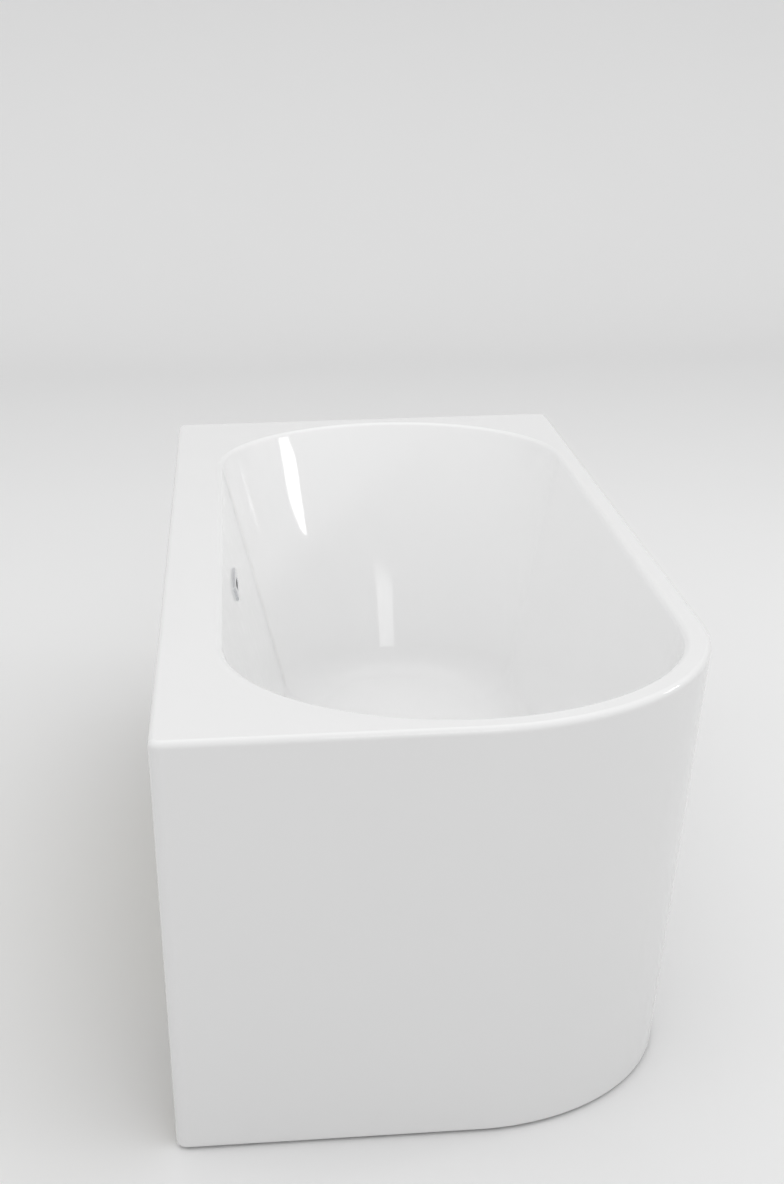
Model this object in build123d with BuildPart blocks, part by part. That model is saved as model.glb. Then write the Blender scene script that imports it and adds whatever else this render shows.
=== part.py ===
"""Back-to-wall corner bathtub, left hand, in millimetres.

The long wall side is at -X and the short wall side at +Y. The origin is on the floor, under the
middle of the bath. The exposed near end and right side taper and meet in one large rounded corner.
"""
import os
from math import atan, cos, pi

from build123d import *

os.makedirs("parts", exist_ok=True)

# Overall size
tub_length = 1700.0
tub_width = 750.0
tub_height = 600.0
skirt_gap = 4.0

# Outer form
taper = 65.0
wall_side_taper = 4.0
corner_radius = 16.0
least_corner_radius = 1.0
edge_radius = 8.0

# Rim and opening, seen from above
ledge_width = 86.0
rim_width = 34.0
far_ledge_width = 46.0
inner_edge_radius = 10.0

# Basin
floor_height = 145.0
floor_width = 400.0
floor_length = 1190.0
floor_fillet = 80.0

# Skins
acrylic = 5.0
glassfibre = 4.0
bond = 0.3
backing_clearance = 1.0
lip_depth = 10.0
wall_lip_depth = 45.0
skirt_return = 80.0
skirt_flange = 18.0
tongue = 4.0
tongue_overlap = 15.0

# Timber
board_thickness = 15.0
board_width = 270.0
board_length = 1070.0
batten_thickness = 20.0
batten_width = 30.0
skirt_batten_width = 22.0
skirt_batten_margin = 3.0

# Steel frame
tube = 25.0
tube_wall = 1.5
rail_spacing = 200.0
right_rail_inset = 105.0
beam_wall_inset = 16.5
beam_spacing = 950.0
mid_beam_offset = 190.0
foot_wall_inset = 57.0
foot_side_inset = 50.0
post_wall_inset = 30.0
cap_flange = 2.0
cap_depth = 12.0

# Fasteners
bolt_radius = 4.0
bolt_head_radius = 6.5
bolt_head_height = 5.0
bolt_length = 31.0
screw_radius = 2.5
screw_head_radius = 5.0
screw_head_height = 2.5
screw_bite = 12.0
hole_play = 0.3
board_screw_spacing = 600.0
angle_leg = 32.0
angle_width = 22.0
angle_thickness = 3.0

# Levelling feet
stud_radius = 6.0
stud_chamfer = 1.2
stud_above_beam = 12.0
nut_across_flats = 19.0
weld_nut_height = 10.0
lock_nut_height = 10.0
shoulder_height = 12.0
pad_radius = 22.0
pad_top_radius = 12.0
pad_height = 16.0
pad_edge = 4.0
ball_radius = 8.0
ball_centre = 11.0
neck_radius = 4.5

# Drain
drain_radius = 25.0
drain_recess_radius = 39.0
drain_recess_depth = 4.0
drain_pad_radius = 48.0
drain_pad_depth = 4.0
flange_radius = 36.0
flange_thickness = 3.0
flange_round = 1.0
flange_seat = 1.5
flange_tube_radius = 23.0
flange_bore_radius = 20.0
flange_tube_length = 34.0
washer_thickness = 1.5
lower_washer_thickness = 3.0
spider_width = 5.0
spider_height = 6.0
spider_depth = 20.0
plug_travel = 9.0
cap_radius = 32.0
cap_dome = 3.0
cap_edge = 2.5
plug_seal_thickness = 2.0
plug_seal_radius = 28.0
plug_seal_bore = 18.0
cartridge_radius = 7.0
cartridge_length = 40.0
cartridge_wall = 1.5
stem_radius = 3.0
stem_collar_radius = 5.0
stem_collar_height = 2.5
stem_tail_length = 14.4
stem_tail_radius = 2.2
hub_radius = 6.0
hub_depth = 6.0
spring_wire = 0.8
spring_turns = 6
spring_wire_sides = 6

# Waste body and outlet
waste_wall = 3.0
waste_collar_radius = 42.0
waste_collar_thickness = 4.0
waste_bore_radius = 17.0
outlet_axis_height = 44.0
outlet_bend_radius = 34.0
socket_radius = 20.3
socket_depth = 28.0
socket_wall = 3.2
outlet_nut_radius = 30.0
outlet_nut_length = 22.0
outlet_nut_play = 1.2
outlet_seal_length = 4.0
hose_inlet_height = 80.0
hose_inlet_reach = 52.0

# Overflow
overflow_depth = 75.0
overflow_length = 112.0
overflow_height = 23.0
overflow_thickness = 4.0
overflow_bevel = 1.4
overflow_slot_length = 52.0
overflow_slot_height = 9.0
overflow_hole_length = 92.0
overflow_hole_height = 15.0
insert_flange = 1.2
insert_margin_length = 2.8
insert_margin_height = 2.1
insert_wall = 1.5
box_flange_length = 124.0
box_flange_height = 38.0
box_flange_thickness = 3.0
box_depth = 30.0
box_wall = 2.5
box_shoulder_length = 5.0
box_shoulder_height = 2.5
box_boss_radius = 3.2
overflow_washer = 2.0
overflow_screw_spacing = 78.0
overflow_screw_radius = 1.6
overflow_screw_head_radius = 3.2

# Overflow hose
hose_radius = 12.5
hose_bore = 10.0
hose_bend_radius = 200.0
hose_play = 0.2
spigot_wall = 2.0
spigot_length = 24.0
hose_nut_radius = 16.5
hose_nut_length = 18.0
grip_ribs = 16
grip_rib_radius = 1.2

# Places worked out from the sizes above
cut_reach = 50.0
wall_x = -tub_width / 2
side_x = tub_width / 2
near_y = -tub_length / 2
far_y = tub_length / 2
opening_width = tub_width - ledge_width - rim_width
opening_length = tub_length - rim_width - far_ledge_width
basin_x = wall_x + ledge_width + opening_width / 2
basin_y = near_y + rim_width + opening_length / 2
big_radius = rim_width + opening_width / 2
basin_depth = tub_height - floor_height
side_slope = (opening_width - floor_width) / 2 / basin_depth
end_slope = (opening_length - floor_length) / 2 / basin_depth
deck_underside = tub_height - acrylic
lip_bottom = tub_height - lip_depth
floor_top = floor_height
shell_bottom = floor_top - acrylic
backing_top = shell_bottom - bond
backing_bottom = backing_top - glassfibre
board_bottom = backing_bottom - board_thickness
rail_bottom = board_bottom - tube
beam_bottom = rail_bottom - tube
weld_nut_bottom = beam_bottom - weld_nut_height
lock_nut_bottom = weld_nut_bottom - lock_nut_height
shoulder_top = lock_nut_bottom - bond


def save(part, name):
    """Label a finished piece and write it to its own file."""
    part.label = name
    export_step(part, f"parts/{name}.step")


def taper_share(height):
    """Share of the taper at a height: none at the rim's lip, all of it at the floor."""
    return max(0.0, 1 - height / lip_bottom)


def outline_edges(height, shrink):
    """Low X, high X, low Y and high Y of the outer form at a height, drawn in by shrink."""
    fall = taper_share(height)
    low_x = wall_x + wall_side_taper * fall + shrink
    high_x = side_x - taper * fall - shrink
    low_y = near_y + taper * fall + shrink
    high_y = far_y - shrink
    return low_x, high_x, low_y, high_y


def towards_large_corner(vertex):
    """Sorting value that is highest at the near right corner."""
    return vertex.X - vertex.Y


def outline(height, shrink):
    """Sketch of the outer form at a height, drawn in by shrink."""
    low_x, high_x, low_y, high_y = outline_edges(height, shrink)
    corner = max(corner_radius - shrink, least_corner_radius)
    large_corner = big_radius - taper * taper_share(height) - shrink
    with BuildSketch(Plane.XY.offset(height)) as sketch:
        with Locations(((low_x + high_x) / 2, (low_y + high_y) / 2)):
            Rectangle(high_x - low_x, high_y - low_y)
        fillet(sketch.vertices().sort_by(towards_large_corner)[:3], corner)
        fillet(sketch.vertices().sort_by(towards_large_corner)[-1], large_corner)
    return sketch.sketch


def lip_form(top, bottom, shrink=0.0):
    """Upright solid of the rim's outline between two heights, drawn in by shrink."""
    with BuildPart() as form:
        add(outline(max(top, lip_bottom), shrink))
        extrude(amount=max(top, lip_bottom) - bottom, dir=(0, 0, -1))
    return form.part


def skirt_form(top, bottom, shrink=0.0):
    """Tapered solid of the outer form between two heights, drawn in by shrink."""
    with BuildPart() as form:
        add(outline(top, shrink))
        add(outline(bottom, shrink))
        loft(ruled=True)
    return form.part


def basin_form(top, bottom, grow=0.0, floor_round=0.0):
    """Solid plug with the form of the basin, grown outwards by a wall thickness."""
    with BuildPart() as plug:
        for height in (top, bottom):
            fall = tub_height - height
            length = opening_length - 2 * end_slope * fall + 2 * grow
            width = opening_width - 2 * side_slope * fall + 2 * grow
            with BuildSketch(Plane((basin_x, basin_y, height))):
                SlotOverall(length, width, rotation=90)
        loft(ruled=True)
        if floor_round > 0:
            fillet(plug.faces().sort_by(Axis.Z)[0].edges(), floor_round)
    return plug.part


def square_tube(start, end):
    """Hollow square steel tube between two points on its axis."""
    axis = Vector(*end) - Vector(*start)
    across = Vector(0, 0, 1) if abs(axis.Z) < 1 else Vector(1, 0, 0)
    with BuildPart() as piece:
        with BuildSketch(Plane(origin=start, x_dir=across, z_dir=axis)):
            Rectangle(tube, tube)
            Rectangle(tube - 2 * tube_wall, tube - 2 * tube_wall, mode=Mode.SUBTRACT)
        extrude(amount=axis.length)
    return piece.part


def screw_form(head_plane, shank, head, head_height, length, hex_head=False):
    """Screw whose head stands on a plane and whose shank goes down behind it."""
    with BuildPart() as screw:
        with BuildSketch(head_plane):
            if hex_head:
                RegularPolygon(head, 6)
            else:
                Circle(head)
        extrude(amount=head_height)
        with BuildSketch(head_plane):
            Circle(shank)
        extrude(amount=-length)
    return screw.part


# Skirt inner face, used by everything that seats against it
def skirt_inner_x(height):
    """X of the skirt's inner face on the exposed side, with the bond gap."""
    return outline_edges(height, acrylic + bond)[1]


def skirt_inner_y(height):
    """Y of the skirt's inner face on the near end, with the bond gap."""
    return outline_edges(height, acrylic + bond)[2]


# Frame layout
rail_x = (basin_x - rail_spacing / 2, basin_x + rail_spacing / 2)
rail_z = rail_bottom + tube / 2
beam_z = beam_bottom + tube / 2
skirt_batten_bottom = rail_bottom - angle_leg - skirt_batten_margin
skirt_batten_top = rail_bottom + angle_leg + skirt_batten_margin
batten_face_x = skirt_inner_x(skirt_batten_bottom) - skirt_batten_width
batten_face_y = skirt_inner_y(skirt_batten_bottom) + skirt_batten_width
beam_left_x = wall_x + beam_wall_inset
beam_right_x = batten_face_x - bond
beam_y = (basin_y - beam_spacing / 2, basin_y + beam_spacing / 2)
mid_beam_y = basin_y - mid_beam_offset
rail_near_y = (batten_face_y + bond, batten_face_y + right_rail_inset)
rail_far_y = far_y - acrylic - cap_flange - bond
foot_left_x = wall_x + foot_wall_inset
foot_right_x = beam_right_x - foot_side_inset
batten_bottom = deck_underside - bond - batten_thickness
foot_places = {
    1: (foot_left_x, beam_y[0]),
    2: (foot_right_x, beam_y[0]),
    3: (foot_left_x, beam_y[1]),
    4: (foot_right_x, beam_y[1]),
    5: (basin_x, mid_beam_y),
}

# Steel angles: two on the side batten, one on the near batten, each drawn on its own plane with X
# away from the batten and Y away from the tube
side_angle_planes = [
    Plane(origin=(batten_face_x, y, rail_bottom), x_dir=(-1, 0, 0), z_dir=(0, 1, 0))
    for y in beam_y
]
near_angle_plane = Plane(
    origin=(rail_x[0], batten_face_y, rail_bottom), x_dir=(0, 1, 0), z_dir=(-1, 0, 0)
)
angle_hole = (angle_leg + angle_thickness) / 2


def tube_screw_plane(plane):
    """Plane of the screw that goes from an angle into its tube, on the tube's face."""
    return Plane(origin=plane.from_local_coords(Vector(angle_hole, 0, 0)), z_dir=plane.y_dir)


def batten_screw_plane(plane):
    """Plane of the screw that goes from an angle into its batten, on the batten's face."""
    return Plane(origin=plane.from_local_coords(Vector(0, angle_hole, 0)), z_dir=plane.x_dir)


# Overflow plane: on the basin's wall, X along the bath, Y up the wall, Z into the basin
overflow_plane = Plane(
    origin=(
        basin_x - opening_width / 2 + side_slope * overflow_depth,
        basin_y,
        tub_height - overflow_depth,
    ),
    x_dir=(0, 1, 0),
    z_dir=(1, 0, side_slope),
)
wall_cos = cos(atan(side_slope))
skins = (acrylic + bond + glassfibre) * wall_cos
overflow_axis = Axis(overflow_plane.origin, overflow_plane.z_dir)
insert_length = overflow_length - 2 * insert_margin_length
insert_height = overflow_height - 2 * insert_margin_height
insert_tube_length = overflow_hole_length - 2 * hole_play
insert_tube_height = overflow_hole_height - 2 * hole_play

# Tub shell: basin, flat rim, rounded edges and lips
basin_void = basin_form(tub_height, floor_top, 0.0, floor_fillet)
basin_outside = basin_form(deck_underside, shell_bottom, acrylic, floor_fillet + acrylic)
deck_block = lip_form(tub_height, lip_bottom)
lip_hollow = lip_form(deck_underside, lip_bottom, acrylic)
wall_lip = lip_form(lip_bottom, tub_height - wall_lip_depth)
wall_lip_hollow = lip_form(lip_bottom, tub_height - wall_lip_depth, acrylic)
lip_end_y = near_y + skirt_return + bond
lip_end_x = side_x - skirt_return - bond

with BuildPart() as wall_lips:
    add(wall_lip)
    add(wall_lip_hollow, mode=Mode.SUBTRACT)
    with BuildSketch(Plane.XY.offset(tub_height - wall_lip_depth)):
        with Locations((wall_x + corner_radius, far_y - corner_radius)):
            Rectangle(tub_width, 2 * tub_length, align=(Align.MIN, Align.MAX))
        with Locations((wall_x - acrylic, lip_end_y)):
            Rectangle(tub_width, tub_length, align=(Align.MIN, Align.MAX))
        with Locations((lip_end_x, far_y + acrylic)):
            Rectangle(tub_width, tub_length, align=(Align.MIN, Align.MAX))
    extrude(amount=wall_lip_depth, mode=Mode.SUBTRACT)

with BuildPart() as tub_shell:
    add(deck_block)
    fillet(tub_shell.faces().sort_by(Axis.Z)[-1].edges(), edge_radius)
    add(lip_hollow, mode=Mode.SUBTRACT)
    add(wall_lips.part)
    add(basin_outside)
    with BuildSketch(Plane((basin_x, basin_y, shell_bottom))):
        Circle(drain_pad_radius)
    extrude(amount=-drain_pad_depth)
    add(basin_void, mode=Mode.SUBTRACT)
    mouth = tub_shell.faces().filter_by(Axis.Z).sort_by(Axis.Z)[-1].inner_wires()[0]
    fillet(mouth.edges(), inner_edge_radius)
    with BuildSketch(Plane((basin_x, basin_y, floor_top))):
        Circle(drain_recess_radius)
    extrude(amount=-drain_recess_depth, mode=Mode.SUBTRACT)
    with BuildSketch(Plane((basin_x, basin_y, floor_top))):
        Circle(drain_radius)
    extrude(amount=-cut_reach, mode=Mode.SUBTRACT)
    with BuildSketch(overflow_plane):
        SlotOverall(overflow_hole_length, overflow_hole_height)
    extrude(amount=cut_reach, both=True, mode=Mode.SUBTRACT)
save(tub_shell.part, "tub_shell")

# Glass-fibre backing, bonded to the underside of the basin
backing_outside = basin_form(
    batten_bottom, backing_bottom, acrylic + bond + glassfibre, floor_fillet + acrylic + glassfibre
)
backing_inside = basin_form(batten_bottom, backing_top, acrylic + bond, floor_fillet + acrylic)
with BuildPart() as glassfibre_backing:
    add(backing_outside)
    add(backing_inside, mode=Mode.SUBTRACT)
    with BuildSketch(Plane((basin_x, basin_y, shell_bottom))):
        Circle(drain_pad_radius + bond)
    extrude(amount=-cut_reach, mode=Mode.SUBTRACT)
    with BuildSketch(overflow_plane):
        Rectangle(overflow_hole_length + backing_clearance, overflow_hole_height + backing_clearance)
    extrude(amount=cut_reach, both=True, mode=Mode.SUBTRACT)
save(glassfibre_backing.part, "glassfibre_backing")

# Outer skirt: exposed sides with short returns on the wall sides, a foot flange and a top tongue
tongue_top = deck_underside - bond
tongue_bottom = lip_bottom - tongue_overlap
skirt_outside = skirt_form(lip_bottom, skirt_gap)
skirt_inside = skirt_form(lip_bottom, skirt_gap, acrylic)
flange_outside = skirt_form(skirt_gap + acrylic, skirt_gap, acrylic / 2)
flange_inside = skirt_form(skirt_gap + acrylic, skirt_gap, acrylic + skirt_flange)
tongue_root = skirt_form(lip_bottom, tongue_bottom, acrylic / 2)
tongue_upright = lip_form(tongue_top, lip_bottom, acrylic + bond)
tongue_upright_inside = lip_form(tongue_top, lip_bottom, acrylic + bond + tongue)
tongue_root_inside = skirt_form(lip_bottom, tongue_bottom, acrylic + bond + tongue)

with BuildPart() as outer_skirt:
    add(skirt_outside)
    add(skirt_inside, mode=Mode.SUBTRACT)
    add(flange_outside)
    add(flange_inside, mode=Mode.SUBTRACT)
    add(tongue_root)
    add(tongue_upright)
    add(tongue_upright_inside, mode=Mode.SUBTRACT)
    add(tongue_root_inside, mode=Mode.SUBTRACT)
    with BuildSketch(Plane.XY):
        with Locations((wall_x - acrylic, near_y + skirt_return)):
            Rectangle(corner_radius * 4, 2 * tub_length, align=(Align.MIN, Align.MIN))
        with Locations((side_x - skirt_return, far_y + acrylic)):
            Rectangle(2 * tub_width, corner_radius * 4, align=(Align.MAX, Align.MAX))
    extrude(amount=tub_height, mode=Mode.SUBTRACT)
save(outer_skirt.part, "outer_skirt")

# Plywood board under the basin floor
with BuildPart() as base_board:
    with BuildSketch(Plane((basin_x, basin_y, board_bottom))):
        SlotOverall(board_length, board_width, rotation=90)
        Circle(drain_pad_radius + bond, mode=Mode.SUBTRACT)
    extrude(amount=board_thickness)
    with BuildSketch(Plane.XY.offset(board_bottom)):
        with Locations((basin_x, basin_y)):
            with GridLocations(rail_spacing, board_screw_spacing, 2, 2):
                Circle(screw_radius + hole_play)
    extrude(amount=screw_bite + hole_play, mode=Mode.SUBTRACT)
save(base_board.part, "base_board")

# Long rails, drilled for the frame bolts and the board screws
bolt_places = [(x, y) for x in rail_x for y in (*beam_y, mid_beam_y)]
for side, x, start_y in (("left", rail_x[0], rail_near_y[0]), ("right", rail_x[1], rail_near_y[1])):
    rail_tube = square_tube((x, start_y, rail_z), (x, rail_far_y, rail_z))
    with BuildPart() as long_rail:
        add(rail_tube)
        with BuildSketch(Plane.XY.offset(rail_bottom)):
            with Locations(*bolt_places):
                Circle(bolt_radius + hole_play)
        extrude(amount=tube / 2, mode=Mode.SUBTRACT)
        with BuildSketch(Plane.XY.offset(rail_bottom)):
            with Locations((basin_x, basin_y)):
                with GridLocations(rail_spacing, board_screw_spacing, 2, 2):
                    Circle(screw_radius + hole_play)
        extrude(amount=tube, mode=Mode.SUBTRACT)
        with BuildSketch(tube_screw_plane(near_angle_plane)):
            Circle(screw_radius + hole_play)
        extrude(amount=-screw_bite, mode=Mode.SUBTRACT)
    save(long_rail.part, f"long_rail_{side}")

# Cross beams, drilled for the frame bolts and the feet
beam_spans = {
    "near": (beam_left_x, beam_right_x, beam_y[0]),
    "mid": (rail_x[0] - tube, rail_x[1] + tube, mid_beam_y),
    "far": (beam_left_x, beam_right_x, beam_y[1]),
}
for name, (start_x, end_x, y) in beam_spans.items():
    beam_tube = square_tube((start_x, y, beam_z), (end_x, y, beam_z))
    with BuildPart() as cross_beam:
        add(beam_tube)
        with BuildSketch(Plane.XY.offset(beam_bottom)):
            with Locations(*bolt_places):
                Circle(bolt_radius + hole_play)
            with Locations(*foot_places.values()):
                Circle(stud_radius + hole_play)
        extrude(amount=tube, mode=Mode.SUBTRACT)
        for plane in side_angle_planes:
            with BuildSketch(tube_screw_plane(plane)):
                Circle(screw_radius + hole_play)
            extrude(amount=-screw_bite, mode=Mode.SUBTRACT)
    save(cross_beam.part, f"cross_beam_{name}")

# Upright posts from the frame to the rim battens on the two wall sides
post_far_y = rail_far_y - tube / 2
post_places = {
    "near_left": (wall_x + post_wall_inset, beam_y[0], rail_bottom),
    "far_left": (wall_x + post_wall_inset, beam_y[1], rail_bottom),
    "end_left": (rail_x[0], post_far_y, board_bottom),
    "end_right": (rail_x[1], post_far_y, board_bottom),
}
for name, (x, y, foot_z) in post_places.items():
    save(square_tube((x, y, foot_z), (x, y, batten_bottom)), f"rim_post_{name}")

# Plastic plugs in the open ends of the beams and rails
with BuildPart() as tube_end_caps:
    for x, y, z, direction in (
        (beam_left_x, beam_y[0], beam_z, (-1, 0, 0)),
        (beam_left_x, beam_y[1], beam_z, (-1, 0, 0)),
        (rail_x[0], rail_far_y, rail_z, (0, 1, 0)),
        (rail_x[1], rail_far_y, rail_z, (0, 1, 0)),
        (rail_x[1], rail_near_y[1], rail_z, (0, -1, 0)),
    ):
        with BuildSketch(Plane(origin=(x, y, z), x_dir=(0, 0, 1), z_dir=direction)):
            RectangleRounded(tube, tube, 2 * tube_wall)
        extrude(amount=cap_flange)
        with BuildSketch(Plane(origin=(x, y, z), x_dir=(0, 0, 1), z_dir=direction)):
            Rectangle(tube - 2 * tube_wall - bond, tube - 2 * tube_wall - bond)
        extrude(amount=-cap_depth)
save(tube_end_caps.part, "tube_end_caps")

# Timber battens under the ledges of the wall sides
batten_long_x = wall_x + acrylic + bond
batten_short_y = far_y - acrylic - bond
with BuildPart() as rim_batten_long:
    with BuildSketch(Plane.XY.offset(batten_bottom)):
        with Locations((batten_long_x, near_y + skirt_return + acrylic)):
            Rectangle(
                batten_width,
                tub_length - skirt_return - 2 * acrylic - 2 * bond - batten_width,
                align=(Align.MIN, Align.MIN),
            )
    extrude(amount=batten_thickness)
save(rim_batten_long.part, "rim_batten_long")

with BuildPart() as rim_batten_short:
    with BuildSketch(Plane.XY.offset(batten_bottom)):
        with Locations((batten_long_x + corner_radius, batten_short_y)):
            Rectangle(
                lip_end_x - batten_long_x - corner_radius - acrylic,
                batten_width,
                align=(Align.MIN, Align.MAX),
            )
    extrude(amount=batten_thickness)
save(rim_batten_short.part, "rim_batten_short")

# Timber battens inside the skirt, their outer faces cut to its taper and drilled for the brackets
side_batten_start = far_y - acrylic - skirt_flange
side_batten_length = side_batten_start - beam_y[0] + tube
with BuildPart() as skirt_batten_side:
    with BuildSketch(Plane(origin=(0, side_batten_start, 0), x_dir=(1, 0, 0), z_dir=(0, -1, 0))):
        with BuildLine():
            Polyline(
                (batten_face_x, skirt_batten_bottom),
                (skirt_inner_x(skirt_batten_bottom), skirt_batten_bottom),
                (skirt_inner_x(skirt_batten_top), skirt_batten_top),
                (batten_face_x, skirt_batten_top),
                close=True,
            )
        make_face()
    extrude(amount=side_batten_length)
    for plane in side_angle_planes:
        with BuildSketch(batten_screw_plane(plane)):
            Circle(screw_radius + hole_play)
        extrude(amount=-(screw_bite + hole_play), mode=Mode.SUBTRACT)
save(skirt_batten_side.part, "skirt_batten_side")

near_batten_start = wall_x + corner_radius + acrylic
with BuildPart() as skirt_batten_near:
    with BuildSketch(
        Plane(origin=(near_batten_start, 0, 0), x_dir=(0, 1, 0), z_dir=(1, 0, 0))
    ):
        with BuildLine():
            Polyline(
                (batten_face_y, skirt_batten_bottom),
                (skirt_inner_y(skirt_batten_bottom), skirt_batten_bottom),
                (skirt_inner_y(skirt_batten_top), skirt_batten_top),
                (batten_face_y, skirt_batten_top),
                close=True,
            )
        make_face()
    extrude(amount=basin_x - near_batten_start)
    with BuildSketch(batten_screw_plane(near_angle_plane)):
        Circle(screw_radius + hole_play)
    extrude(amount=-(screw_bite + hole_play), mode=Mode.SUBTRACT)
save(skirt_batten_near.part, "skirt_batten_near")

# Steel angles between the frame and the skirt battens, and their screws
with BuildPart() as angle_brackets:
    for plane in (*side_angle_planes, near_angle_plane):
        with BuildSketch(plane):
            with BuildLine():
                Polyline(
                    (0, 0),
                    (angle_leg, 0),
                    (angle_leg, angle_thickness),
                    (angle_thickness, angle_thickness),
                    (angle_thickness, angle_leg),
                    (0, angle_leg),
                    close=True,
                )
            make_face()
        extrude(amount=angle_width / 2, both=True)
        for screw_plane in (tube_screw_plane(plane), batten_screw_plane(plane)):
            with BuildSketch(screw_plane):
                Circle(screw_radius + hole_play)
            extrude(amount=angle_thickness, mode=Mode.SUBTRACT)
save(angle_brackets.part, "angle_brackets")

bracket_screw_parts = [
    screw_form(
        screw_plane.offset(angle_thickness),
        screw_radius,
        screw_head_radius,
        screw_head_height,
        screw_bite,
    )
    for plane in (*side_angle_planes, near_angle_plane)
    for screw_plane in (tube_screw_plane(plane), batten_screw_plane(plane))
]
with BuildPart() as bracket_screws:
    add(bracket_screw_parts)
save(bracket_screws.part, "bracket_screws")

# Bolts from the beams into the rails, and screws from the rails into the board
frame_bolt_parts = [
    screw_form(
        Plane(origin=(x, y, beam_bottom), z_dir=(0, 0, -1)),
        bolt_radius,
        bolt_head_radius,
        bolt_head_height,
        bolt_length,
        hex_head=True,
    )
    for x, y in bolt_places
]
with BuildPart() as frame_bolts:
    add(frame_bolt_parts)
save(frame_bolts.part, "frame_bolts")

board_screw_parts = [
    screw_form(
        Plane(origin=(x, basin_y + shift, rail_bottom), z_dir=(0, 0, -1)),
        screw_radius,
        screw_head_radius,
        screw_head_height,
        tube + screw_bite,
    )
    for x in rail_x
    for shift in (-board_screw_spacing / 2, board_screw_spacing / 2)
]
with BuildPart() as board_screws:
    add(board_screw_parts)
save(board_screws.part, "board_screws")

# Nuts of the levelling feet: one welded under each beam, one locking the stud
for name, top, height in (
    ("weld_nuts", beam_bottom, weld_nut_height),
    ("lock_nuts", weld_nut_bottom, lock_nut_height),
):
    with BuildPart() as foot_nuts:
        with BuildSketch(Plane.XY.offset(top)):
            with Locations(*foot_places.values()):
                RegularPolygon(nut_across_flats / 2, 6, major_radius=False)
                Circle(stud_radius + hole_play, mode=Mode.SUBTRACT)
        extrude(amount=-height)
    save(foot_nuts.part, name)

# Levelling feet: a screw stud whose ball end turns in a wide pad
stud_top = rail_bottom + stud_above_beam
for number, (x, y) in foot_places.items():
    with BuildPart() as foot_stud:
        with BuildSketch(Plane((x, y, shoulder_top))):
            Circle(stud_radius)
        extrude(amount=stud_top - shoulder_top)
        chamfer(foot_stud.faces().sort_by(Axis.Z)[-1].edges(), stud_chamfer)
        with BuildSketch(Plane((x, y, shoulder_top))):
            RegularPolygon(nut_across_flats / 2, 6, major_radius=False)
        extrude(amount=-shoulder_height)
        with BuildSketch(Plane((x, y, ball_centre))):
            Circle(neck_radius)
        extrude(amount=shoulder_top - shoulder_height - ball_centre)
        with Locations((x, y, ball_centre)):
            Sphere(ball_radius)
    save(foot_stud.part, f"foot_stud_{number}")

    with BuildPart() as foot_pad:
        with BuildSketch(Plane(origin=(x, y, 0), x_dir=(1, 0, 0), z_dir=(0, -1, 0))):
            with BuildLine():
                Polyline(
                    (0, 0),
                    (pad_radius, 0),
                    (pad_radius, pad_edge),
                    (pad_top_radius, pad_height),
                    (0, pad_height),
                    close=True,
                )
            make_face()
        revolve(axis=Axis((x, y, 0), (0, 0, 1)))
        with Locations((x, y, ball_centre)):
            Sphere(ball_radius + hole_play, mode=Mode.SUBTRACT)
    save(foot_pad.part, f"foot_pad_{number}")

# Drain flange with its seat and the cross bars that hold the plug's cartridge
recess_floor = floor_top - drain_recess_depth
flange_bottom = recess_floor + washer_thickness
flange_top = flange_bottom + flange_thickness
spider_top = flange_top - spider_depth
cartridge_fit = hole_play / 3
with BuildPart() as waste_flange:
    with BuildSketch(Plane((basin_x, basin_y, flange_top))):
        Circle(flange_radius)
    extrude(amount=-flange_thickness)
    with BuildSketch(Plane((basin_x, basin_y, flange_bottom))):
        Circle(flange_tube_radius)
    extrude(amount=-flange_tube_length)
    fillet(waste_flange.faces().sort_by(Axis.Z)[-1].edges(), flange_round)
    with BuildSketch(Plane((basin_x, basin_y, flange_top))):
        Circle(flange_bore_radius)
    extrude(amount=-(flange_thickness + flange_tube_length), mode=Mode.SUBTRACT)
    chamfer(
        waste_flange.faces().sort_by(Axis.Z)[-1].edges().sort_by(SortBy.LENGTH)[0],
        flange_seat,
    )
    with BuildSketch(Plane((basin_x, basin_y, spider_top))):
        Rectangle(flange_bore_radius + flange_tube_radius, spider_width)
        Rectangle(spider_width, flange_bore_radius + flange_tube_radius)
        Circle(cartridge_radius + spider_width / 2)
        Circle(cartridge_radius + cartridge_fit, mode=Mode.SUBTRACT)
    extrude(amount=-spider_height)
save(waste_flange.part, "waste_flange")

# Washers above and below the basin floor
pad_underside = shell_bottom - drain_pad_depth
for name, bottom, outer_radius, height in (
    ("waste_top_seal", recess_floor, flange_radius, washer_thickness),
    (
        "waste_lower_seal",
        pad_underside - lower_washer_thickness,
        waste_collar_radius,
        lower_washer_thickness,
    ),
):
    with BuildPart() as washer:
        with BuildSketch(Plane((basin_x, basin_y, bottom))):
            Circle(outer_radius)
            Circle(flange_tube_radius + hole_play, mode=Mode.SUBTRACT)
        extrude(amount=height)
    save(washer.part, name)

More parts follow.
